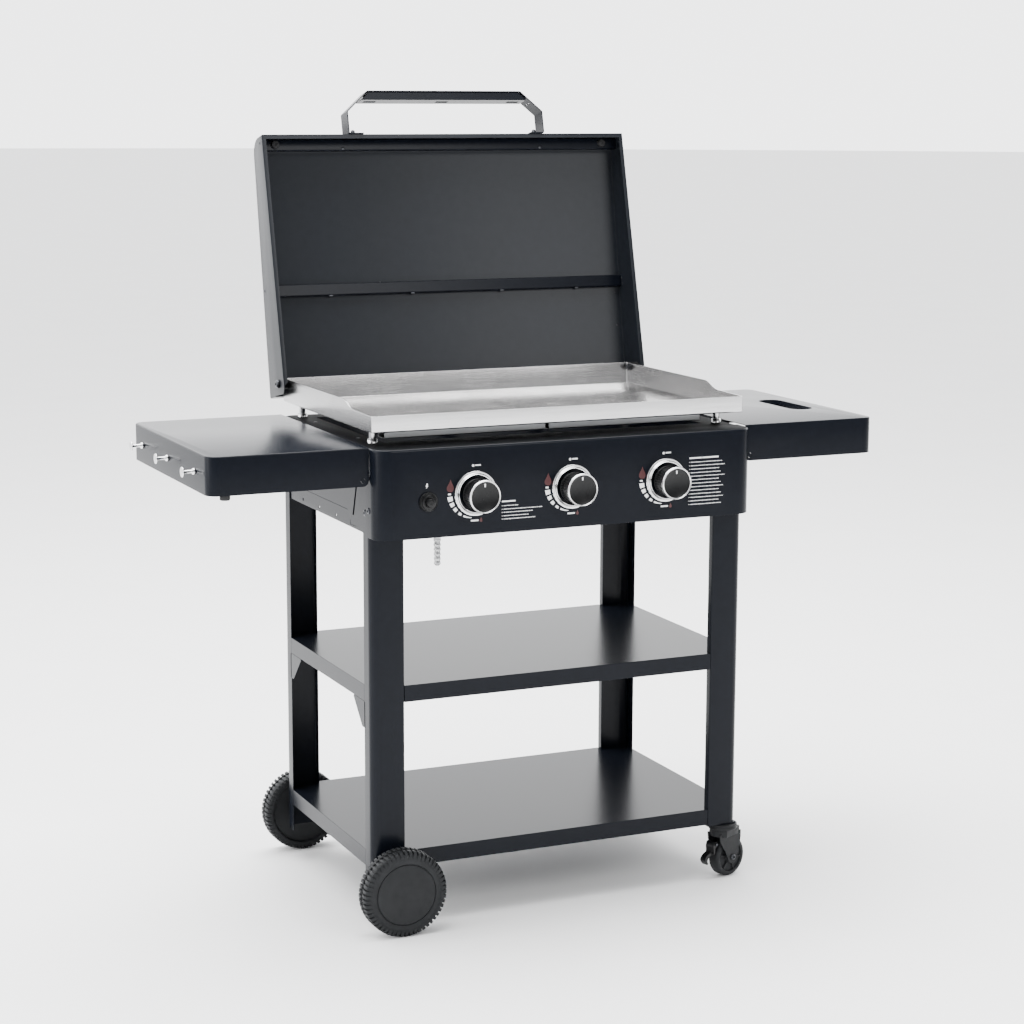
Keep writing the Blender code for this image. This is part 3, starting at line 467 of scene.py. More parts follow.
def build_leg(name, side, end):
    foot = 0.058 if side < 0 else 0.107
    height = LEG_TOP - foot
    bend = arc((LEG_X - 0.016, LEG_Y - 0.016), 0.016, 90, 0, 12)
    hem = arc((0.299 + 0.0025, LEG_Y - 0.0025), 0.0025, 180, 90, 4)
    edge = LEG_Y - 0.0365
    path = [(0.299, LEG_Y - 0.0145), *hem, *bend, (LEG_X, edge)]
    path = [(side * x, end * y) for x, y in path]
    bm = ribbon(path, height, SHEET, -side * end, at(0, 0, foot))
    cutters = []
    above = 0.76
    if end > 0:
        low, high = span(side, 0.298, 0.304)
        cutters.append(block((low, 0.205, 0.695), (high, LEG_Y - SHEET - 0.0002, above)))
    # The side flange ends in a round-topped tab.
    tab, crown, tab_radius, shoulder = 0.2048, 0.731, 0.0118, 0.719
    mask = [(0.24, shoulder), (0.24, above), (0.185, above), (0.185, crown),
            *arc((tab, crown), tab_radius, 180, 0, 16), (tab + tab_radius, shoulder)]
    low, high = span(side, LEG_X - 0.01, LEG_X + 0.004)
    cutters.append(slab([(end * y, z) for y, z in mask], low, high, SIDE_VIEW))
    if side < 0:
        cutters.append(bar((WHEEL_X, end * 0.215, WHEEL_Z), (WHEEL_X, end * 0.245, WHEEL_Z), 0.0056))
    bm = carve(bm, *cutters)
    # Gusset that holds the middle shelf, below its edge.
    triangle = [(edge + 0.004, 0.4018), (edge - 0.052, 0.4018), (edge - 0.0535, 0.399),
                (edge - 0.012, 0.3555), (edge - 0.009, 0.3548), (edge + 0.004, 0.3548)]
    merge(bm, slab([(end * y, z) for y, z in triangle], *span(side, LEG_X - SHEET, LEG_X), SIDE_VIEW))
    if side > 0:
        y_low, y_high = span(end, 0.185, LEG_Y - 0.0008)
        merge(bm, block((0.2995, y_low, foot - 0.003), (LEG_X - 0.0008, y_high, foot + 0.0004)))
    spot = at(side * LEG_X, end * (tab - 0.0005), 0.733) @ OUTWARD[side]
    merge(bm, screw_head(0.0058, 0.0024, spot), 1)
    add(name, bm, [COAT, SCREW], "cart", edge=0.0004)


def build_shelf(name, top):
    reach_x, reach_y = 0.2987, 0.1927
    notch_x, notch_y = 0.3572, 0.2147
    corner = [(reach_x, LEG_Y), (reach_x, notch_y), (notch_x, notch_y), (notch_x, reach_y), (LEG_X, reach_y)]
    outline = []
    for sx, sy, order in ((1, -1, 1), (1, 1, -1), (-1, 1, 1), (-1, -1, -1)):
        outline += [(sx * x, sy * y) for x, y in corner[::order]]
    bm = thicken(tray_shell(outline, top, 0.0294, rim=0.0), THIN_SHEET)
    add(name, bm, COAT, "cart", edge=0.0011)


# ---------------------------------------------------------------- firebox and controls

def build_firebox():
    bend = arc((FIREBOX_X - 0.0163, 0.2277 - 0.0163), 0.0163, 0, 90, 10)
    half = [(FIREBOX_X, -0.208), *bend]
    outline = half + [(-x, y) for x, y in reversed(half)]
    bm = thicken(tray_shell(outline, FIREBOX_TOP, 0.149, rim=0.0018), SHEET)
    cutters = [block((-0.309, -0.16, 0.835), (0.309, 0.1797, 0.855))]
    for x in KNOB_X:
        cutters.append(bar((x, -0.22, KNOB_Z), (x, -0.19, KNOB_Z), 0.0133, 32))
    slot = [(-0.16, 0.77), (-0.153, 0.77), (-0.137, 0.719), (-0.144, 0.719)]
    for side in (-1, 1):
        low, high = span(side, 0.345, 0.365)
        cutters.append(slab(slot, low, high, SIDE_VIEW))
        for y in (-0.0535, 0.034, 0.121):
            cutters.append(bar((low, y, 0.7047), (high, y, 0.7047), 0.003, 16))
        # Pressed lines: a long crease over the holes, a short bent one by the slot.
        crease = [(0.15, 0.725), (-0.113, 0.725), (-0.113, 0.7238), (0.15, 0.7238)]
        corner = [(-0.1258, 0.7085), (-0.127, 0.7085), (-0.127, 0.7012), (-0.153, 0.7018),
                  (-0.153, 0.7008), (-0.1258, 0.7)]
        for line in (crease, corner):
            cutters.append(slab(line, *span(side, FIREBOX_X - 0.0008, FIREBOX_X + 0.002), SIDE_VIEW))
    bm = carve(bm, *cutters)
    for side in (-1, 1):
        # Painted shade: a dark sheet behind the slot stands for the shade inside it.
        slot_shade_sheet = [(-0.166, 0.775), (-0.147, 0.775), (-0.131, 0.714), (-0.15, 0.714)]
        merge(bm, slab(slot_shade_sheet, *span(side, 0.353, 0.3546), SIDE_VIEW), 2)
        pivot_z, reach = 0.792, 0.008
        nose = arc((FOLD_PIVOT, pivot_z), reach, 90, -90, 12)
        tab = [(0.356, pivot_z + reach), *nose, (0.356, pivot_z - reach)]
        for y in (-0.15, 0.15):
            merge(bm, slab([(side * x, z) for x, z in tab], y - 0.0015, y + 0.0015, FRONT_VIEW))
        merge(bm, dome(0.0032, 0.0012, at(side * FIREBOX_X, 0.186, 0.713) @ OUTWARD[side]), 1)
    for x, y in ((-0.332, 0.12), (0.332, 0.12), (-0.332, -0.1), (0.332, -0.1)):
        merge(bm, dome(0.0035, 0.001, at(x, y, FIREBOX_TOP)), 1)
    for face in bm.faces:
        if face.normal.z > 0.7 and face.calc_center_median().z > 0.84 and face.material_index == 0:
            face.material_index = 3
    add("firebox", bm, [COAT, SCREW, SHADOW, MATTE], "cart", edge=0.0004)


def build_panel():
    bend = 0.031
    corner = arc((PANEL_X - bend, PANEL_FRONT + bend), bend, 0, -90, 16)
    right = [(PANEL_X, -0.21), *corner]
    outline = right + [(-x, y) for x, y in reversed(right)]
    bm = tray_shell(outline, 0.8465, 0.154, open_edges=(len(outline) - 1,), rim=0.005)
    bm = thicken(bm, THIN_SHEET)
    cutters = [bar((x, -0.28, KNOB_Z), (x, -0.25, KNOB_Z), 0.0058) for x in KNOB_X]
    cutters.append(bar((IGNITER_X, -0.28, IGNITER_Z), (IGNITER_X, -0.25, IGNITER_Z), 0.0113))
    bm = carve(bm, *cutters)
    # Return flange along the bottom edge.
    inner = [(x * 0.9962, y + 0.0013) for x, y in outline]
    flange = 0.012
    limit = PANEL_X - flange
    core = [(max(-limit, min(limit, x)), max(y, PANEL_FRONT + flange)) for x, y in inner]
    quads = [(inner[i], inner[i + 1], core[i + 1], core[i]) for i in range(len(inner) - 1)]
    merge(bm, flat_strip(quads, 0.6931))
    for side in (-1, 1):
        for radius, height, y, z in ((0.0052, 0.0022, -0.2251, 0.7395), (0.0034, 0.0014, -0.23, 0.8055)):
            merge(bm, screw_head(radius, height, at(side * PANEL_X, y, z) @ OUTWARD[side]), 1)
    for face in bm.faces:
        if face.normal.z > 0.9 and face.calc_center_median().z > 0.846 and face.material_index == 0:
            face.material_index = 2
    add("control_panel", bm, [COAT, SCREW, MATTE], "cart", edge=0.0004)


def flame(width, height, base):
    """Outline of a small flame, its foot centred on base."""
    half = [(0.0, 0.0), (0.3, 0.02), (0.46, 0.16), (0.5, 0.34), (0.4, 0.52), (0.22, 0.72), (0.06, 1.0)]
    left = [(-0.3, 0.06), (-0.46, 0.22), (-0.46, 0.38), (-0.3, 0.56), (-0.12, 0.74)]
    points = half + left[::-1]
    return [(base[0] + x * width, base[1] + z * height) for x, z in points]


def dash(left, right, z, half, low, high, view):
    return slab(rectangle(left, right, z - half, z + half), low, high, view)


def text_row(bm, left, right, z, low, high, view):
    """A bullet and a row of plain word-long dashes, with no letters."""
    merge(bm, dash(left, left + 0.001, z, 0.0006, low, high, view))
    start, word = left + 0.0032, 0
    while start < right - 0.002:
        stop = min(right, start + 0.0042 + 0.0022 * math.sin(5.0 * z * 1000 + 1.9 * word))
        merge(bm, dash(start, stop, z, 0.0005, low, high, view))
        start, word = stop + 0.0009, word + 1


def build_marks():
    """Plain print on the panel: round each knob an off dot, two flames and a heat scale; a spark by
    the igniter; two blocks of dashes."""
    white, red = bmesh.new(), bmesh.new()
    low, high = 0.0001, 0.00025
    view = at(0, PANEL_FRONT, 0) @ FRONT_VIEW
    for x in KNOB_X:
        merge(white, slab(arc((x - 0.004, KNOB_Z + 0.0474), 0.0022, 0, 345, 23), low, high, view))
        merge(red, slab(flame(0.0135, 0.022, (x - 0.0461, KNOB_Z + 0.0042)), low, high, view))
        merge(red, slab(flame(0.0055, 0.0088, (x + 0.0106, KNOB_Z - 0.0506)), low, high, view))
        for left, right, z, half in ((-0.0001, 0.0102, 0.0478, 0.0012), (-0.0501, -0.0448, 0.0008, 0.0013),
                                     (-0.008, 0.0059, -0.0472, 0.0013)):
            merge(white, dash(x + left, x + right, KNOB_Z + z, half, low, high, view))
        for start, stop in ((184.5, 194.3), (198.5, 206.7), (211.8, 220.2), (226.6, 234.6), (240, 261)):
            inner = arc((x, KNOB_Z), 0.0422, start, stop, 8)
            outer = []
            for k in range(9):
                turn = stop + (start - stop) * k / 8
                outer += arc((x, KNOB_Z), 0.0516 - 0.00011 * (turn - 184), turn, turn, 1)[:1]
            merge(white, slab(inner + outer, low, high, view))
    bolt = [(-0.0006, 0.0046), (0.002, 0.0046), (0.0008, 0.0012), (0.0024, 0.0012), (-0.0014, -0.0044),
            (-0.0004, -0.0006), (-0.002, -0.0006)]
    merge(white, slab([(IGNITER_X - 0.002 + x, 0.7815 + z) for x, z in bolt], low, high, view))
    merge(white, dash(-0.1324, -0.1073, 0.7465, 0.0011, low, high, view))
    for z, right in ((0.739, -0.0994), (0.733, -0.0559), (0.7275, -0.0743), (0.7215, -0.0803),
                     (0.716, -0.0673)):
        text_row(white, -0.1324, right, z, low, high, view)
    merge(white, dash(0.2295, 0.254, 0.7996, 0.0012, low, high, view))
    merge(white, dash(0.2555, 0.288, 0.7996, 0.0012, low, high, view))
    for row in range(13):
        text_row(white, 0.2295, 0.295 + 0.0065 * math.sin(2.1 * row), 0.7922 - 0.0063 * row, low, high, view)
    merge(white, red, 1)
    add("panel_print", white, [WHITE_INK, RED_INK], "cart", edge=0.0, print_only=True)


def build_controls():
    for number, x in zip(KNOB_BODIES, KNOB_X):
        here = at(x, 0, KNOB_Z) @ TO_FRONT
        rolled = [(0.0312, 0.001), (0.0312, 0.0074), (0.032, 0.0086), (0.0332, 0.0087), (0.0341, 0.0076),
                  (0.0347, 0.0052), (0.0358, 0.0042), (0.0372, 0.0044), (0.0383, 0.004), (0.039, 0.0028),
                  (0.039, 0), (0.0318, 0), (0.0312, 0.001)]
        bezel = [(radius, PANEL_SEAT + height) for radius, height in rolled]
        add(f"knob_bezel_{number}", lathe(bezel, 112, here), CHROME, "cart", edge=0.0)
        body = [(0, 0.2905), (0.0043, 0.2905), (0.0043, 0.2695), (0.0255, 0.2695), (0.0262, 0.2702),
                (0.0262, 0.2736), (0.0254, 0.2744), (0.0248, 0.276), (0.0248, 0.3015), (0.0256, 0.3032),
                (0.0256, 0.3068), (0.025, 0.3072), (0.0232, 0.3062), (0.0, 0.306)]
        knob = lathe(body, 112, here)
        for k in range(36):
            spot = here @ Matrix.Rotation(math.radians(10 * k + 5), 4, "Z")
            merge(knob, block((0.0242, -0.0011, 0.2752), (0.0259, 0.0011, 0.3025), spot))
        ring = [(0.0254, 0.3035), (0.0276, 0.3025), (0.0284, 0.3035), (0.0288, 0.3052), (0.0287, 0.3072),
                (0.0281, 0.3088), (0.0271, 0.3096), (0.0262, 0.3093), (0.0256, 0.3084), (0.0254, 0.307),
                (0.0254, 0.3035)]
        merge(knob, lathe(ring, 112, here), 1)
        pointer = [(-0.001, 0.0165), (0.001, 0.0165), (0.0014, 0.0222), (-0.0014, 0.0222)]
        merge(knob, slab(pointer, 0.3058, 0.3066, at(x, 0, KNOB_Z) @ FRONT_VIEW), 2)
        add(f"knob_{number}", knob, [KNOB, CHROME, WHITE_INK], f"knob_turn_{number}", edge=0.0002)
    here = at(IGNITER_X, 0, IGNITER_Z) @ TO_FRONT
    housing = [(0, 0.222), (0, 0.2515), (0.0078, 0.2515), (0.0078, 0.27), (0.0084, 0.271),
               (0.011, 0.2712), (0.0124, 0.2704), (0.0132, 0.268), (0.0146, 0.2676), (0.016, 0.2682),
               (0.0166, 0.2674), (0.0168, 0.266), (0.0168, PANEL_SEAT), (0.011, PANEL_SEAT),
               (0.011, 0.222), (0, 0.222)]
    add("igniter_housing", lathe(housing, 72, here), KNOB, "cart", edge=0.0)
    button = [(0, 0.259), (0, 0.2786), (0.002, 0.279), (0.0055, 0.279), (0.0068, 0.2784), (0.0075, 0.277),
              (0.0075, 0.259), (0, 0.259)]
    add("igniter_button", lathe(button[::-1], 56, here), KNOB, "igniter", edge=0.0)


# ---------------------------------------------------------------- griddle plate

def build_griddle():
    bm = bmesh.new()
    bmesh.ops.create_cube(bm, size=1.0)
    for vert in bm.verts:
        vert.co = Vector((vert.co.x * 0.712, vert.co.y * 0.459, 0.871 if vert.co.z < 0 else 0.914))
    bm.normal_update()
    mouth = next(f for f in bm.faces if f.normal.z > 0.9)
    bmesh.ops.delete(bm, geom=[mouth], context="FACES_ONLY")
    upright = [e for e in bm.edges if abs(e.verts[0].co.z - e.verts[1].co.z) > 0.01]
    bmesh.ops.bevel(bm, geom=upright, offset=0.004, segments=4, profile=0.5, affect="EDGES")
    base = [e for e in bm.edges if len(e.link_faces) == 2 and all(v.co.z < 0.8711 for v in e.verts)]
    bmesh.ops.bevel(bm, geom=base, offset=0.003, segments=3, profile=0.5, affect="EDGES")
    bm = thicken(bm, 0.0024)
    slope = [(-0.09 - 0.05 * t, 0.914 - 0.013 * (3 * t * t - 2 * t ** 3)) for t in
             [k / 14 for k in range(15)]]
    outline = [(-0.09, 0.934), (-0.09, 0.9142), *slope[1:], (-0.24, 0.8995), (-0.24, 0.934)]
    cutters = [slab(outline, -0.37, 0.37, SIDE_VIEW)]
    for side in (-1, 1):
        low, high = span(side, 0.335, 0.375)
        cutters.append(bar((low, *HINGE[1:]), (high, *HINGE[1:]), BOLT_HOLE))
    bm = carve(bm, *cutters)
    for face in bm.faces:
        normal = face.normal
        middle = face.calc_center_median()
        if abs(normal.x) > 0.7:
            face.material_index = 1
        elif normal.z > 0.7 and middle.z < 0.88:
            face.material_index = 2
    for low_x, high_x in ((-0.318, -0.017), (-0.01, 0.289)):
        section = [(-0.19, 0.8708), (-0.19, 0.8562), (-0.1888, 0.855), (-0.1612, 0.855),
                   (-0.16, 0.8562), (-0.16, 0.8708), (-0.1612, 0.8708), (-0.1612, 0.857),
                   (-0.162, 0.8562), (-0.188, 0.8562), (-0.1888, 0.857), (-0.1888, 0.8708)]
        merge(bm, slab(section, low_x, high_x, SIDE_VIEW), 3)
    add("griddle_plate", bm, [STEEL_X, STEEL_Y, PLATE, STRIP], "cart", edge=0.0005)
    for side, x in (("left", -0.333), ("right", 0.333)):
        for end, y in (("front", -0.172), ("rear", 0.189)):
            name = f"griddle_post_{end}_{side}"
            spot = at(x, y, 0)
            post = [(0, 0.8707), (0.0056, 0.8707), (0.006, 0.8703), (0.006, 0.854), (0.0085, 0.853),
                    (0.0085, 0.8528), (0.0085, 0.846), (0.0078, 0.8453), (0, 0.8453)]
            bm = lathe(post, 40, spot)
            merge(bm, slab(hexagon(0.009), 0.8455, 0.85, spot))
            add(name, bm, CHROME, "cart", edge=0.0004)


# ---------------------------------------------------------------- lid

LID_X, INSIDE_X = 0.37, 0.3685


def lid_depth(along):
    """Depth of the lid's outer face at a distance from the hinge; it shrinks to the front edge."""
    share = (along + 0.021) / (0.457 + 0.021)
    return 0.057 + (0.027 - 0.057) * share


def build_lid():
    nose = arc((lid_depth(0.457) - 0.03, 0.427), 0.03, 4, 90, 14)
    heel = arc((-0.0175, -0.009), 0.012, 180, 270, 8)
    outline = [(-0.0295, 0.457), *heel, (0.026, -0.021), *arc((0.053, -0.017), 0.004, 270, 360, 3), *nose]
    bm = bmesh.new()
    left = [bm.verts.new((-LID_X, y, z)) for y, z in outline]
    right = [bm.verts.new((LID_X, y, z)) for y, z in outline]
    cheeks = [bm.faces.new(left), bm.faces.new(right)]
    count = len(outline)
    strips = []
    for i in range(count):
        j = (i + 1) % count
        strips.append(bm.faces.new((left[i], left[j], right[j], right[i])))
    bmesh.ops.recalc_face_normals(bm, faces=bm.faces)
    mouth = strips[0]
    bmesh.ops.delete(bm, geom=strips[1:len(heel) + 1], context="FACES_ONLY")
    bmesh.ops.inset_region(bm, faces=[mouth], thickness=0.008, use_boundary=True, use_even_offset=True)
    bm.normal_update()
    across = [f for f in bm.faces if f.normal.y < -0.9 and f.calc_center_median().z < 0.0
              and f.calc_center_median().y < -0.0294 and abs(f.calc_center_median().x) < 0.01]
    bmesh.ops.delete(bm, geom=[mouth, *across], context="FACES_ONLY")
    bmesh.ops.delete(bm, geom=[v for v in bm.verts if not v.link_faces], context="VERTS")
    rims = [e for e in bm.edges if len(e.link_faces) == 2 and any(f in cheeks for f in e.link_faces)
            and e.calc_face_angle() > 1.0]
    bmesh.ops.bevel(bm, geom=rims, offset=0.0016, segments=2, profile=0.5, affect="EDGES")
    bm = thicken(bm, THIN_SHEET, exact=True)
    cutters = []
    for side in (-1, 1):
        low, high = span(side, 0.36, 0.38)
        cutters.append(bar((low, 0, 0), (high, 0, 0), BOLT_HOLE))
    bm = carve(bm, *cutters)
    for side in (-1, 1):
        for out, along in ((-0.013, 0.445), (-0.013, 0.43), (0.03, 0.181), (0.03, 0.17)):
            merge(bm, dome(0.0026, 0.001, at(side * 0.3688, out, along) @ OUTWARD[-side]), 1)
        for along in (0.416, 0.339, 0.248, 0.155, 0.09):
            out = lid_depth(along) - THIN_SHEET
            merge(bm, dome(0.0016, 0.0007, at(side * 0.358, out, along) @ TO_FRONT), 1)
        for out, along in ((-0.013, 0.445), (0.034, 0.177)):
            merge(bm, dome(0.003, 0.0009, at(side * LID_X, out, along) @ OUTWARD[side]), 1)
    move(bm, LID)
    add("lid_shell", bm, [COAT_LID_PAINTED_SHEEN, SCREW], "lid", edge=0.0003)

    channel = [(0.0, 0.4345), (0.0, 0.4525), (0.0012, 0.454), (0.005, 0.454), (0.005, 0.4527),
               (0.002, 0.4525), (0.0013, 0.4515), (0.0013, 0.4355), (0.002, 0.4345), (0.011, 0.4343),
               (0.011, 0.433), (0.0012, 0.433)]
    bm = slab(channel, -INSIDE_X, INSIDE_X, SIDE_VIEW)
    for x in (-0.203, 0.203):
        merge(bm, dome(0.003, 0.0012, at(x, 0.0, 0.4365) @ TO_FRONT), 1)
    move(bm, LID)
    add("lid_front_channel", bm, [COAT, SCREW], "lid", edge=0.0003)

    depth = lid_depth(0.177) - THIN_SHEET - 0.0006
    rib = [(0.033, 0.1675), (0.033, 0.1865), (0.0342, 0.188), (depth - 0.0012, 0.188),
           (depth - 0.0012, 0.1868), (0.035, 0.1866), (0.0343, 0.1856), (0.0343, 0.1684), (0.035, 0.1674),
           (depth, 0.1672), (depth, 0.166), (0.0342, 0.166)]
    bm = slab(rib, -INSIDE_X, INSIDE_X, SIDE_VIEW)
    for x in (-0.24, -0.075, 0.11, 0.27):
        merge(bm, block((x - 0.0035, 0.0335, 0.1642), (x + 0.0035, 0.0375, 0.1662)), 1)
    merge(bm, dome(0.0022, 0.0008, at(-0.14, 0.0345, 0.1878)), 1)
    move(bm, LID)
    add("lid_rib", bm, [COAT, SCREW], "lid", edge=0.0003)

    for side, sign in (("left", -1), ("right", 1)):
        here = LID @ at(sign * 0.336, 0, 0.444) @ TO_FRONT
        bumper = [(0, 0.0003), (0, 0.0045), (0.0022, 0.0045), (0.0024, 0.0052), (0.003, 0.006),
                  (0.0058, 0.006), (0.007, 0.0052), (0.008, 0.0015), (0.008, 0.0003), (0, 0.0003)]
        add(f"lid_bumper_{side}", lathe(bumper, 40, here), RUBBER, "lid", edge=0.0)
        across = Matrix.Translation(HINGE) @ OUTWARD[sign]
        collar = [(BOLT_HOLE, 0.3565), (BOLT_HOLE, 0.3683), (0.0094, 0.3683), (0.01, 0.3677),
                  (0.01, 0.365), (0.0092, 0.364), (0.0092, 0.3608), (0.01, 0.3598), (0.01, 0.3571),
                  (0.0094, 0.3565), (BOLT_HOLE, 0.3565)]
        add(f"hinge_spacer_{side}", lathe(collar, 48, across), PLASTIC, "cart", edge=0.0)
        bolt = [(0, 0.344), (0.0033, 0.344), (0.004, 0.3448), (0.004, 0.3703), (0.0078, 0.3703),
                (0.008, 0.371), (0.0078, 0.373), (0.006, 0.3752), (0.004, 0.376), (0.0026, 0.376),
                (0.0026, 0.3735), (0, 0.3735)]
        bm = lathe(bolt, 40, across)
        merge(bm, slab(hexagon(0.0068), 0.3485, 0.353, across))
        add(f"hinge_bolt_{side}", bm, SCREW, "cart", edge=0.0003)


def build_handle():
    low, thick = 0.4573, 0.002
    front, back = -0.033, 0.003
    view = LID @ at(0, back, 0) @ FRONT_VIEW
    foot = 0.1705
    bend_low = arc((0.2005 - 0.003, low + 0.003), 0.003, -90, 0, 4)
    half = [(foot, low), *bend_low, (0.2005, 0.4985), (0.2, 0.5005), (0.1585, 0.5377), (0.156, 0.539)]
    path = half + [(-x, z) for x, z in reversed(half)]
    bm = ribbon(path, back - front, thick, 1)
    cutters = []
    for side in (-1, 1):
        centre = Vector((side * 0.18, 0.5185, 0))
        normal = Vector((side * 0.668, 0.744, 0))
        for depth in (0.012, 0.022):
            start = centre - normal * 0.008 + Vector((0, 0, depth))
            stop = centre + normal * 0.008 + Vector((0, 0, depth))
            cutters.append(bar(start, stop, 0.0022, 16))
    bm = carve(bm, *cutters)
    for side in (-1, 1):
        nut = at(side * 0.186, low + thick, 0.018) @ TO_REAR
        merge(bm, slab(hexagon(0.0052), 0.0, 0.0032, nut), 1)
        merge(bm, dome(0.0046, 0.006, nut @ at(0, 0, 0.003)), 1)
    move(bm, view)
    add("handle_bracket", bm, [COAT, SCREW], "lid", edge=0.0004)

    top = 0.539 - thick - 0.0003
    inner, drop = 0.153, 0.015
    wide = inner + 0.0166
    section = [(inner, top), (-inner, top), (-wide, top - drop), (wide, top - drop)]
    bm = slab(section, 0.001, 0.035)
    cutters = []
    for x in (-0.147, 0.0, 0.147):
        cutters.append(block((x - 0.0115, top - drop - 0.004, 0.0125),
                             (x + 0.0115, top - drop + 0.006, 0.0205)))
    bm = carve(bm, *cutters)
    move(bm, view)
    add("handle_grip", bm, COAT, "lid", edge=0.0014)


# ---------------------------------------------------------------- side shelves

def handle_slot(radius):
    """Outline of the right shelf's long round-ended slot."""
    x, middle, half = 0.574, -0.0096, 0.0528
    return arc((x, middle + half), radius, 0, 180, 20) + arc((x, middle - half), radius, 180, 360, 20)


def build_side_shelf(side_name, side):
    edge = WING_OUTER[side]
    corner = arc((edge - 0.021, 0.2295 - 0.021), 0.021, 90, 0, 14)
    half = [(0.3615, 0.2295), *corner]
    outline = [(side * x, y) for x, y in half] + [(side * x, -y) for x, y in reversed(half)]
    top, depth = 0.8475, 0.0655
    low = top - depth
    bm = thicken(tray_shell(outline, top, depth, open_edges=(len(outline) - 1,), rim=0.0022), THIN_SHEET)
    pivot_x, pivot_z = side * FOLD_PIVOT, low + 0.01
    cutters = []
    for end in (-1, 1):
        mask = [(0.3595, low - 0.01), (0.3595, low + 0.01), (0.3616, low + 0.01)]
        mask += arc((0.3716, low + 0.01), 0.01, 180, 270, 8)[1:] + [(0.3716, low - 0.01)]
        near, far = span(end, 0.222, 0.236)
        cutters.append(slab([(side * x, z) for x, z in mask], -far, -near, FRONT_VIEW))
    cutters.append(bar((pivot_x, -0.24, pivot_z), (pivot_x, 0.24, pivot_z), BOLT_HOLE))
    if side > 0:
        cutters.append(slab(handle_slot(0.0236), 0.83, 0.86))
    bm = carve(bm, *cutters)
    # Hem folded inwards along the bottom of the three outer sides.
    inner = [(x - side * 0.0013 * (abs(x) > 0.4), y - math.copysign(0.0013, y)) for x, y in outline]
    hem = 0.01
    core = [(side * min(abs(x), edge - hem), math.copysign(min(abs(y), 0.2295 - hem), y)) for x, y in inner]
    quads = []
    for i in range(len(inner) - 1):
        a, b = inner[i], inner[i + 1]
        c, d = core[i + 1], core[i]
        if i in (0, len(inner) - 2):
            start = side * 0.383
            a, d = ((start, a[1]), (start, d[1])) if i == 0 else (a, d)
            b, c = ((start, b[1]), (start, c[1])) if i else (b, c)
        quads.append((a, b, c, d))
    merge(bm, flat_strip(quads, low + 0.0007))
    if side > 0:
        ring = handle_slot(0.0237)
        lining = bmesh.new()
        upper, lower = top - 0.0008, top - 0.009
        for a, b in zip(ring, ring[1:] + ring[:1]):
            quad = [(*a, upper), (*b, upper), (*b, lower), (*a, lower)]
            lining.faces.new([lining.verts.new(p) for p in quad])
        bmesh.ops.remove_doubles(lining, verts=lining.verts, dist=1e-6)
        bmesh.ops.recalc_face_normals(lining, faces=lining.faces)
        merge(bm, thicken(lining, 0.001, 1))
    name = f"side_shelf_{side_name}"
    body = f"shelf_{side_name}"
    add(name, bm, [COAT, SCREW], body, edge=0.0004)
    dress(f"shelf_hinge_rod_{side_name}", COAT)


def build_shelf_fittings():
    start = 0.6413
    steps = [(0, 0), (0.0052, 0), (0.0056, 0.001), (0.0056, 0.0038), (0.0048, 0.005), (0.0032, 0.006),
             (0.0029, 0.008), (0.0029, 0.0178), (0.0036, 0.0202), (0.0052, 0.021), (0.008, 0.0213),
             (0.0087, 0.0221), (0.0087, 0.023), (0.008, 0.0238), (0.004, 0.024), (0, 0.024)]
    hook = [(radius, start + along) for radius, along in steps]
    for number, y in enumerate((-0.158, 0.001, 0.16), 1):
        here = at(0, y, 0.81475) @ TO_LEFT
        add(f"tool_hook_{number}", lathe(hook, 48, here), CHROME, "shelf_left", edge=0.0)
    low = 0.782
    stop = [(0, low + 0.02), (0.005, low + 0.02), (0.005, low - 0.0003), (0.0088, low - 0.0003),
            (0.009, low - 0.001), (0.0086, low - 0.0075), (0.0078, low - 0.0088), (0, low - 0.0088)]
    here = at(-0.609, -0.2165, 0)
    add("shelf_stop_left", lathe(stop, 40, here), RUBBER, "shelf_left", edge=0.0)


# ---------------------------------------------------------------- rolling gear

def build_cart_wheel(name, end):
    here = at(WHEEL_X, end * 0.2453, WHEEL_Z) @ (TO_REAR if end > 0 else TO_FRONT)
    width = 0.0398
    profile = [(0, 0.0338), (0.0053, 0.0338), (0.0053, 0), (0.019, 0), (0.02, 0.001), (0.0215, 0.006),
               (0.044, 0.006), (0.06, 0.006), (0.0625, 0.001), (0.066, 0.0008), (0.07, 0.002),
               (0.0716, 0.0045), (0.0724, 0.008), (0.0726, 0.017)]
    outer_face = [(0.0726, 0.017), (0.0724, 0.008), (0.0714, 0.0045), (0.0696, 0.0022), (0.067, 0.0012),
                  (0.056, 0.0006), (0.0546, 0.001), (0.0541, 0.0022), (0.0534, 0.0022), (0.0529, 0.0008),
                  (0.0515, 0), (0, 0)]
    profile += [(radius, width - depth) for radius, depth in outer_face]
    bm = lathe(profile, 108, here)
    # Tread lugs in two rows, half a pitch apart, each row standing in from its own side.
    count, half = 54, 0.0026
    lug = [(0.064, 0.0004), (0.0715, 0.016), (0.0735, 0.0176), (0.0757, 0.017), (0.0761, 0.0155),
           (0.0761, 0.0062), (0.0746, 0.0026), (0.0705, 0.0006)]
    for row in (0, 1):
        shape = [(radius, width - z if row else z) for radius, z in lug]
        for k in range(count):
            turn = Matrix.Rotation(2 * math.pi * (k + 0.5 * row) / count, 4, "Z")
            merge(bm, slab(shape, -half, half, here @ turn @ TO_FRONT))
    add(name, bm, TREAD, name.replace("cart_", ""), edge=0.0004)


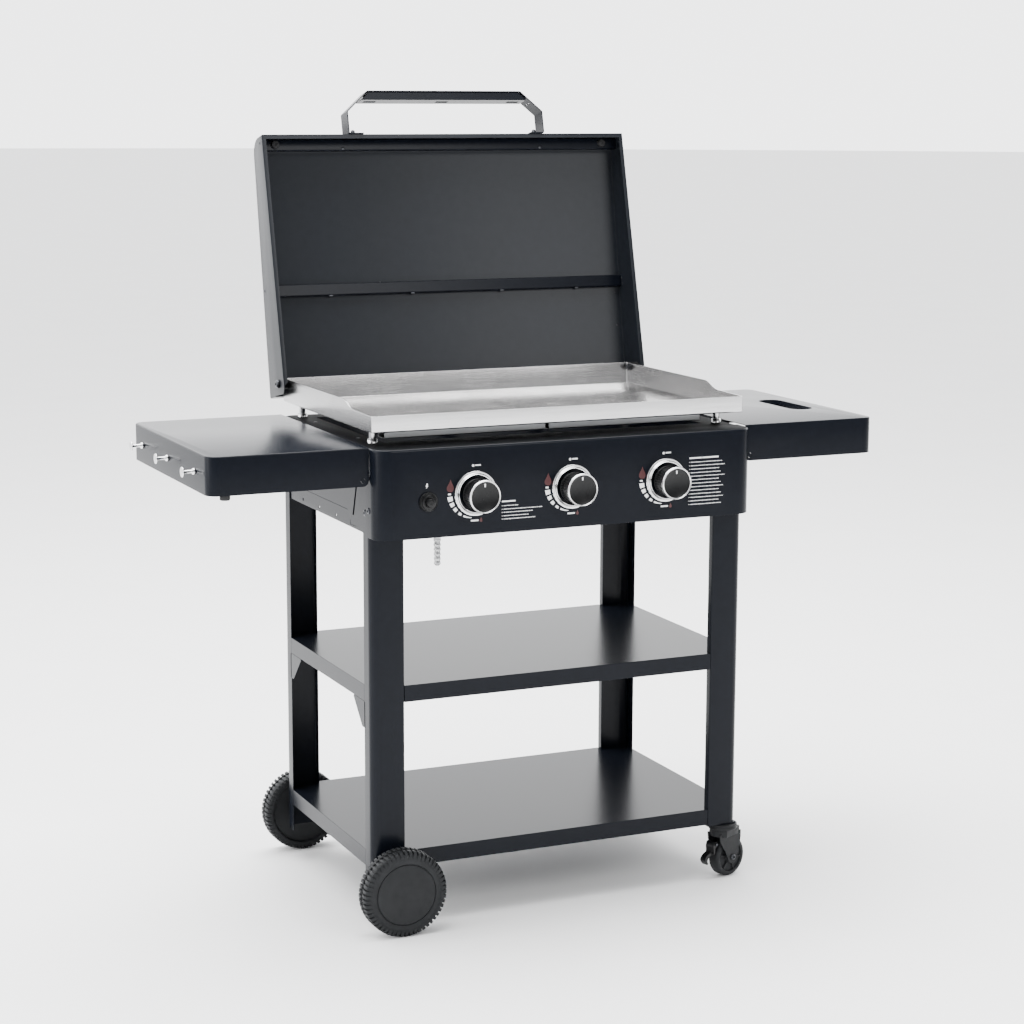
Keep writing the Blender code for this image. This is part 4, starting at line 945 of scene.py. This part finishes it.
def build_caster(end_name, end):
    heading = at(0.34, end * 0.212, 0) @ Matrix.Rotation(math.radians(18), 4, "Z")
    view = heading @ FRONT_VIEW
    axle_x, axle_z = 0.012, 0.0375
    pin_x, pin_z = -0.027, 0.068
    race = [(0, 0.1035), (0.0255, 0.1035), (0.0268, 0.1028), (0.027, 0.101), (0.0262, 0.1),
            (0.0262, 0.0992), (0.027, 0.0984), (0.027, 0.095), (0.0262, 0.094), (0.024, 0.0934),
            (0, 0.0934)]
    bm = lathe(race, 64, heading)
    front = [(axle_x, -0.0178), (0.029, -0.016), (0.0335, -0.012)]
    roof = arc((0.0, 0.0), 0.024, 115, 245, 12) + front + [(x, -y) for x, y in reversed(front)]
    merge(bm, slab(roof, 0.08, 0.0935, heading))
    inner, plate = 0.0135, 0.0028
    arm = [(-0.023, 0.086), (-0.0215, 0.072), (-0.013, 0.058), (-0.008, 0.052), (-0.002, 0.039),
           *arc((axle_x, axle_z), 0.0125, 185, 365, 14),
           (0.0262, 0.048), (0.0315, 0.062), (0.0335, 0.074), (0.0335, 0.086)]
    for sign in (-1, 1):
        merge(bm, slab(arm, *span(sign, inner, inner + plate), view))
        outward = TO_FRONT if sign > 0 else TO_REAR
        spot = heading @ at(axle_x, -sign * (inner + plate), axle_z)
        merge(bm, screw_head(0.0056, 0.0036, spot @ outward), 1)
    for x, z, half, radius in ((axle_x, axle_z, inner + 0.001, 0.004), (pin_x, pin_z, inner - 0.001, 0.0025)):
        merge(bm, bar(heading @ Vector((x, -half, z)), heading @ Vector((x, half, z)), radius), 1)
    add(f"caster_fork_{end_name}", bm, [PLASTIC, SCREW], f"caster_{end_name}",
        edge=0.0007)

    half = 0.012
    tread = [(0.0043, half), (0.011, half), (0.0118, half - 0.001), (0.013, half - 0.004),
             (0.0275, half - 0.004), (0.0286, half - 0.0012), (0.0305, half - 0.0005),
             (0.034, half - 0.0009), (0.036, half - 0.0022), (0.0372, half - 0.0045),
             (0.0375, half - 0.007)]
    profile = tread + [(radius, -height) for radius, height in reversed(tread)] + [tread[0]]
    spot = heading @ at(axle_x, 0, axle_z) @ TO_REAR
    bm = lathe(profile, 80, spot)
    for k in range(6):
        turn = Matrix.Rotation(math.radians(60 * k + 10), 4, "Z")
        for sign in (-1, 1):
            low, high = span(sign, half - 0.0045, half - 0.0012)
            merge(bm, block((0.0118, -0.0013, low), (0.0275, 0.0013, high), spot @ turn))
    add(f"caster_wheel_{end_name}", bm, TREAD, f"caster_roll_{end_name}", edge=0.0003)

    pedal = [(-0.03, 0.0722), (-0.024, 0.0722), (-0.0232, 0.07), (-0.0235, 0.064), (-0.0285, 0.06),
             (-0.029, 0.0505), (-0.035, 0.048), (-0.04, 0.0452), (-0.044, 0.041), (-0.0452, 0.0375),
             (-0.0425, 0.033), (-0.0455, 0.0312), (-0.0505, 0.037), (-0.0522, 0.041), (-0.0505, 0.0455),
             (-0.045, 0.0505), (-0.039, 0.053), (-0.034, 0.054), (-0.0335, 0.064), (-0.032, 0.07)]
    bm = slab(pedal, -0.01, 0.01, view)
    # The tread of the pedal is narrower than its arm and has four ridges.
    waist = rectangle(-0.06, -0.033, 0.02, 0.06)
    for sign in (-1, 1):
        bm = carve(bm, slab(waist, *span(sign, 0.0062, 0.012), view))
    hole = heading @ Vector((pin_x, -0.012, pin_z)), heading @ Vector((pin_x, 0.012, pin_z))
    bm = carve(bm, bar(*hole, 0.0029))
    for k in range(4):
        x = -0.0375 - 0.0036 * k
        z = 0.0535 - 0.002 * k - 0.0006 * k * k
        merge(bm, block((x - 0.0009, -0.0058, z - 0.0012), (x + 0.0009, 0.0058, z + 0.0004), heading))
    add(f"brake_pedal_{end_name}", bm, KNOB, f"brake_{end_name}", edge=0.0005)


# ---------------------------------------------------------------- burners and gas line

def build_burners():
    for number, x in zip(KNOB_BODIES, KNOB_X):
        here = at(x, 0, KNOB_Z) @ TO_REAR
        tube = [(0, 0.2259), (0.0036, 0.2259), (0.004, 0.2255), (0.004, 0.19), (0.011, 0.188),
                (0.013, 0.186), (0.013, -0.15), (0.0118, -0.156), (0.0118, -0.175), (0.013, -0.181),
                (0.013, -0.2212), (0.0122, -0.222), (0.0115, -0.2212), (0.0115, 0.1845), (0, 0.1845)]
        bm = lathe(tube, 40, here)
        cutters = bmesh.new()
        for k in range(22):
            for side in (-1, 1):
                y = -0.12 + 0.0135 * k
                start = (x + side * 0.008, y, KNOB_Z + 0.001)
                merge(cutters, bar(start, (x + side * 0.014, y, KNOB_Z + 0.0065), 0.0014, 10))
        bm = carve(bm, cutters)
        add(f"burner_tube_{number}", bm, STEEL_Y, "cart", edge=0.0)
        dress(f"gas_valve_{number}", BRASS)
        dress(f"valve_stem_{number}", BRASS)
    dress("gas_manifold", ZINC)
    top = 0.7362 - 0.0003
    x, y = -0.245, -0.247
    profile = [(0, top), (0.006, top), (0.006, 0.706), (0.0092, 0.705), (0.0095, 0.704),
               (0.0095, 0.693), (0.009, 0.692), (0.0062, 0.691), (0.006, 0.6885), (0.0064, 0.687),
               (0.0064, 0.684)]
    for k in range(5):
        z = 0.682 - 0.008 * k
        profile += [(0.0046, z), (0.0064 - 0.0001 * k, z - 0.005), (0.0062 - 0.0001 * k, z - 0.0062)]
    profile += [(0.0042, 0.6425), (0.0034, 0.6412), (0, 0.641)]
    bm = lathe(profile, 40, at(x, y, 0))
    merge(bm, slab(arc((x, y), 0.0098, 0, 300, 5), 0.6945, 0.7025))
    add("gas_inlet_barb", bm, ZINC, "cart", edge=0.0003)


# ---------------------------------------------------------------- build everything

for leg_name, leg_side, leg_end in (("leg_front_left", -1, -1), ("leg_rear_left", -1, 1),
                                    ("leg_front_right", 1, -1), ("leg_rear_right", 1, 1)):
    build_leg(leg_name, leg_side, leg_end)
build_shelf("middle_shelf", 0.4316)
build_shelf("lower_shelf", 0.1372)
build_firebox()
build_panel()
build_marks()
build_controls()
build_griddle()
build_lid()
build_handle()
build_side_shelf("left", -1)
build_side_shelf("right", 1)
build_shelf_fittings()
build_cart_wheel("cart_wheel_front", -1)
build_cart_wheel("cart_wheel_rear", 1)
dress("wheel_axle", ZINC)
build_caster("front", -1)
build_caster("rear", 1)
build_burners()


# ---------------------------------------------------------------- floor, light, camera

def build_stage():
    bm = bmesh.new()
    bmesh.ops.create_circle(bm, cap_ends=True, segments=96, radius=60.0)
    mesh = bpy.data.meshes.new("floor")
    bm.to_mesh(mesh)
    bm.free()
    floor = bpy.data.objects.new("floor", mesh)
    SCENE.collection.objects.link(floor)
    mat, tree, shader = new_material("pale_floor")
    pale = tint(tree, noise(tree, 3.0), (0.93, 0.93, 0.93), (0.95, 0.95, 0.95))
    feed(tree, shader, {"Base Color": pale, "Roughness": 0.9})
    mesh.materials.append(mat)

    # The surroundings are bright behind and a little to the left, and dim on the viewer's side.
    world = bpy.data.worlds.new("studio")
    world.use_nodes = True
    SCENE.world = world
    tree = world.node_tree
    direction = node(tree, "ShaderNodeTexCoord", {}).outputs["Generated"]
    towards = node(tree, "ShaderNodeVectorMath", {0: direction, 1: (-0.22, 0.95, 0.12)},
                   operation="DOT_PRODUCT").outputs["Value"]
    fall = {"Value": towards, "From Min": -0.55, "From Max": 0.5, "To Min": 0.5, "To Max": 3.9}
    level = node(tree, "ShaderNodeMapRange", fall, interpolation_type="SMOOTHSTEP").outputs["Result"]
    feed(tree, tree.nodes["Background"], {"Color": (0.985, 0.99, 1.0, 1.0), "Strength": level})


def area(name, location, target, size, power):
    data = bpy.data.lights.new(name, "AREA")
    data.shape = "RECTANGLE"
    data.size, data.size_y = size
    data.energy = power
    lamp = bpy.data.objects.new(name, data)
    lamp.location = location
    lamp.rotation_euler = (Vector(target) - Vector(location)).to_track_quat("-Z", "Y").to_euler()
    SCENE.collection.objects.link(lamp)


def build_camera():
    data = bpy.data.cameras.new("camera")
    data.sensor_width = 36.0
    data.lens = 83.03
    data.clip_end = 100.0
    camera = bpy.data.objects.new("camera", data)
    SCENE.collection.objects.link(camera)
    forward = Vector((0.40336, 0.89836, -0.17392)).normalized()
    turn = forward.to_track_quat("-Z", "Y").to_matrix().to_4x4()
    roll = Matrix.Rotation(math.radians(0.2), 4, "Z")
    camera.matrix_world = CART @ at(-1.7445, -3.8966, 1.4303) @ turn @ roll
    SCENE.camera = camera


build_stage()
area("top", (-0.3, 0.6, 4.2), (0, 0, 0.6), (4.5, 3.5), 520)
area("left", (-3.4, 0.2, 1.7), (0, 0, 0.7), (1.4, 2.6), 30)
area("front", (1.0, -3.6, 2.9), (0, 0.2, 1.1), (1.6, 1.6), 70)
build_camera()

bpy.context.view_layer.update()
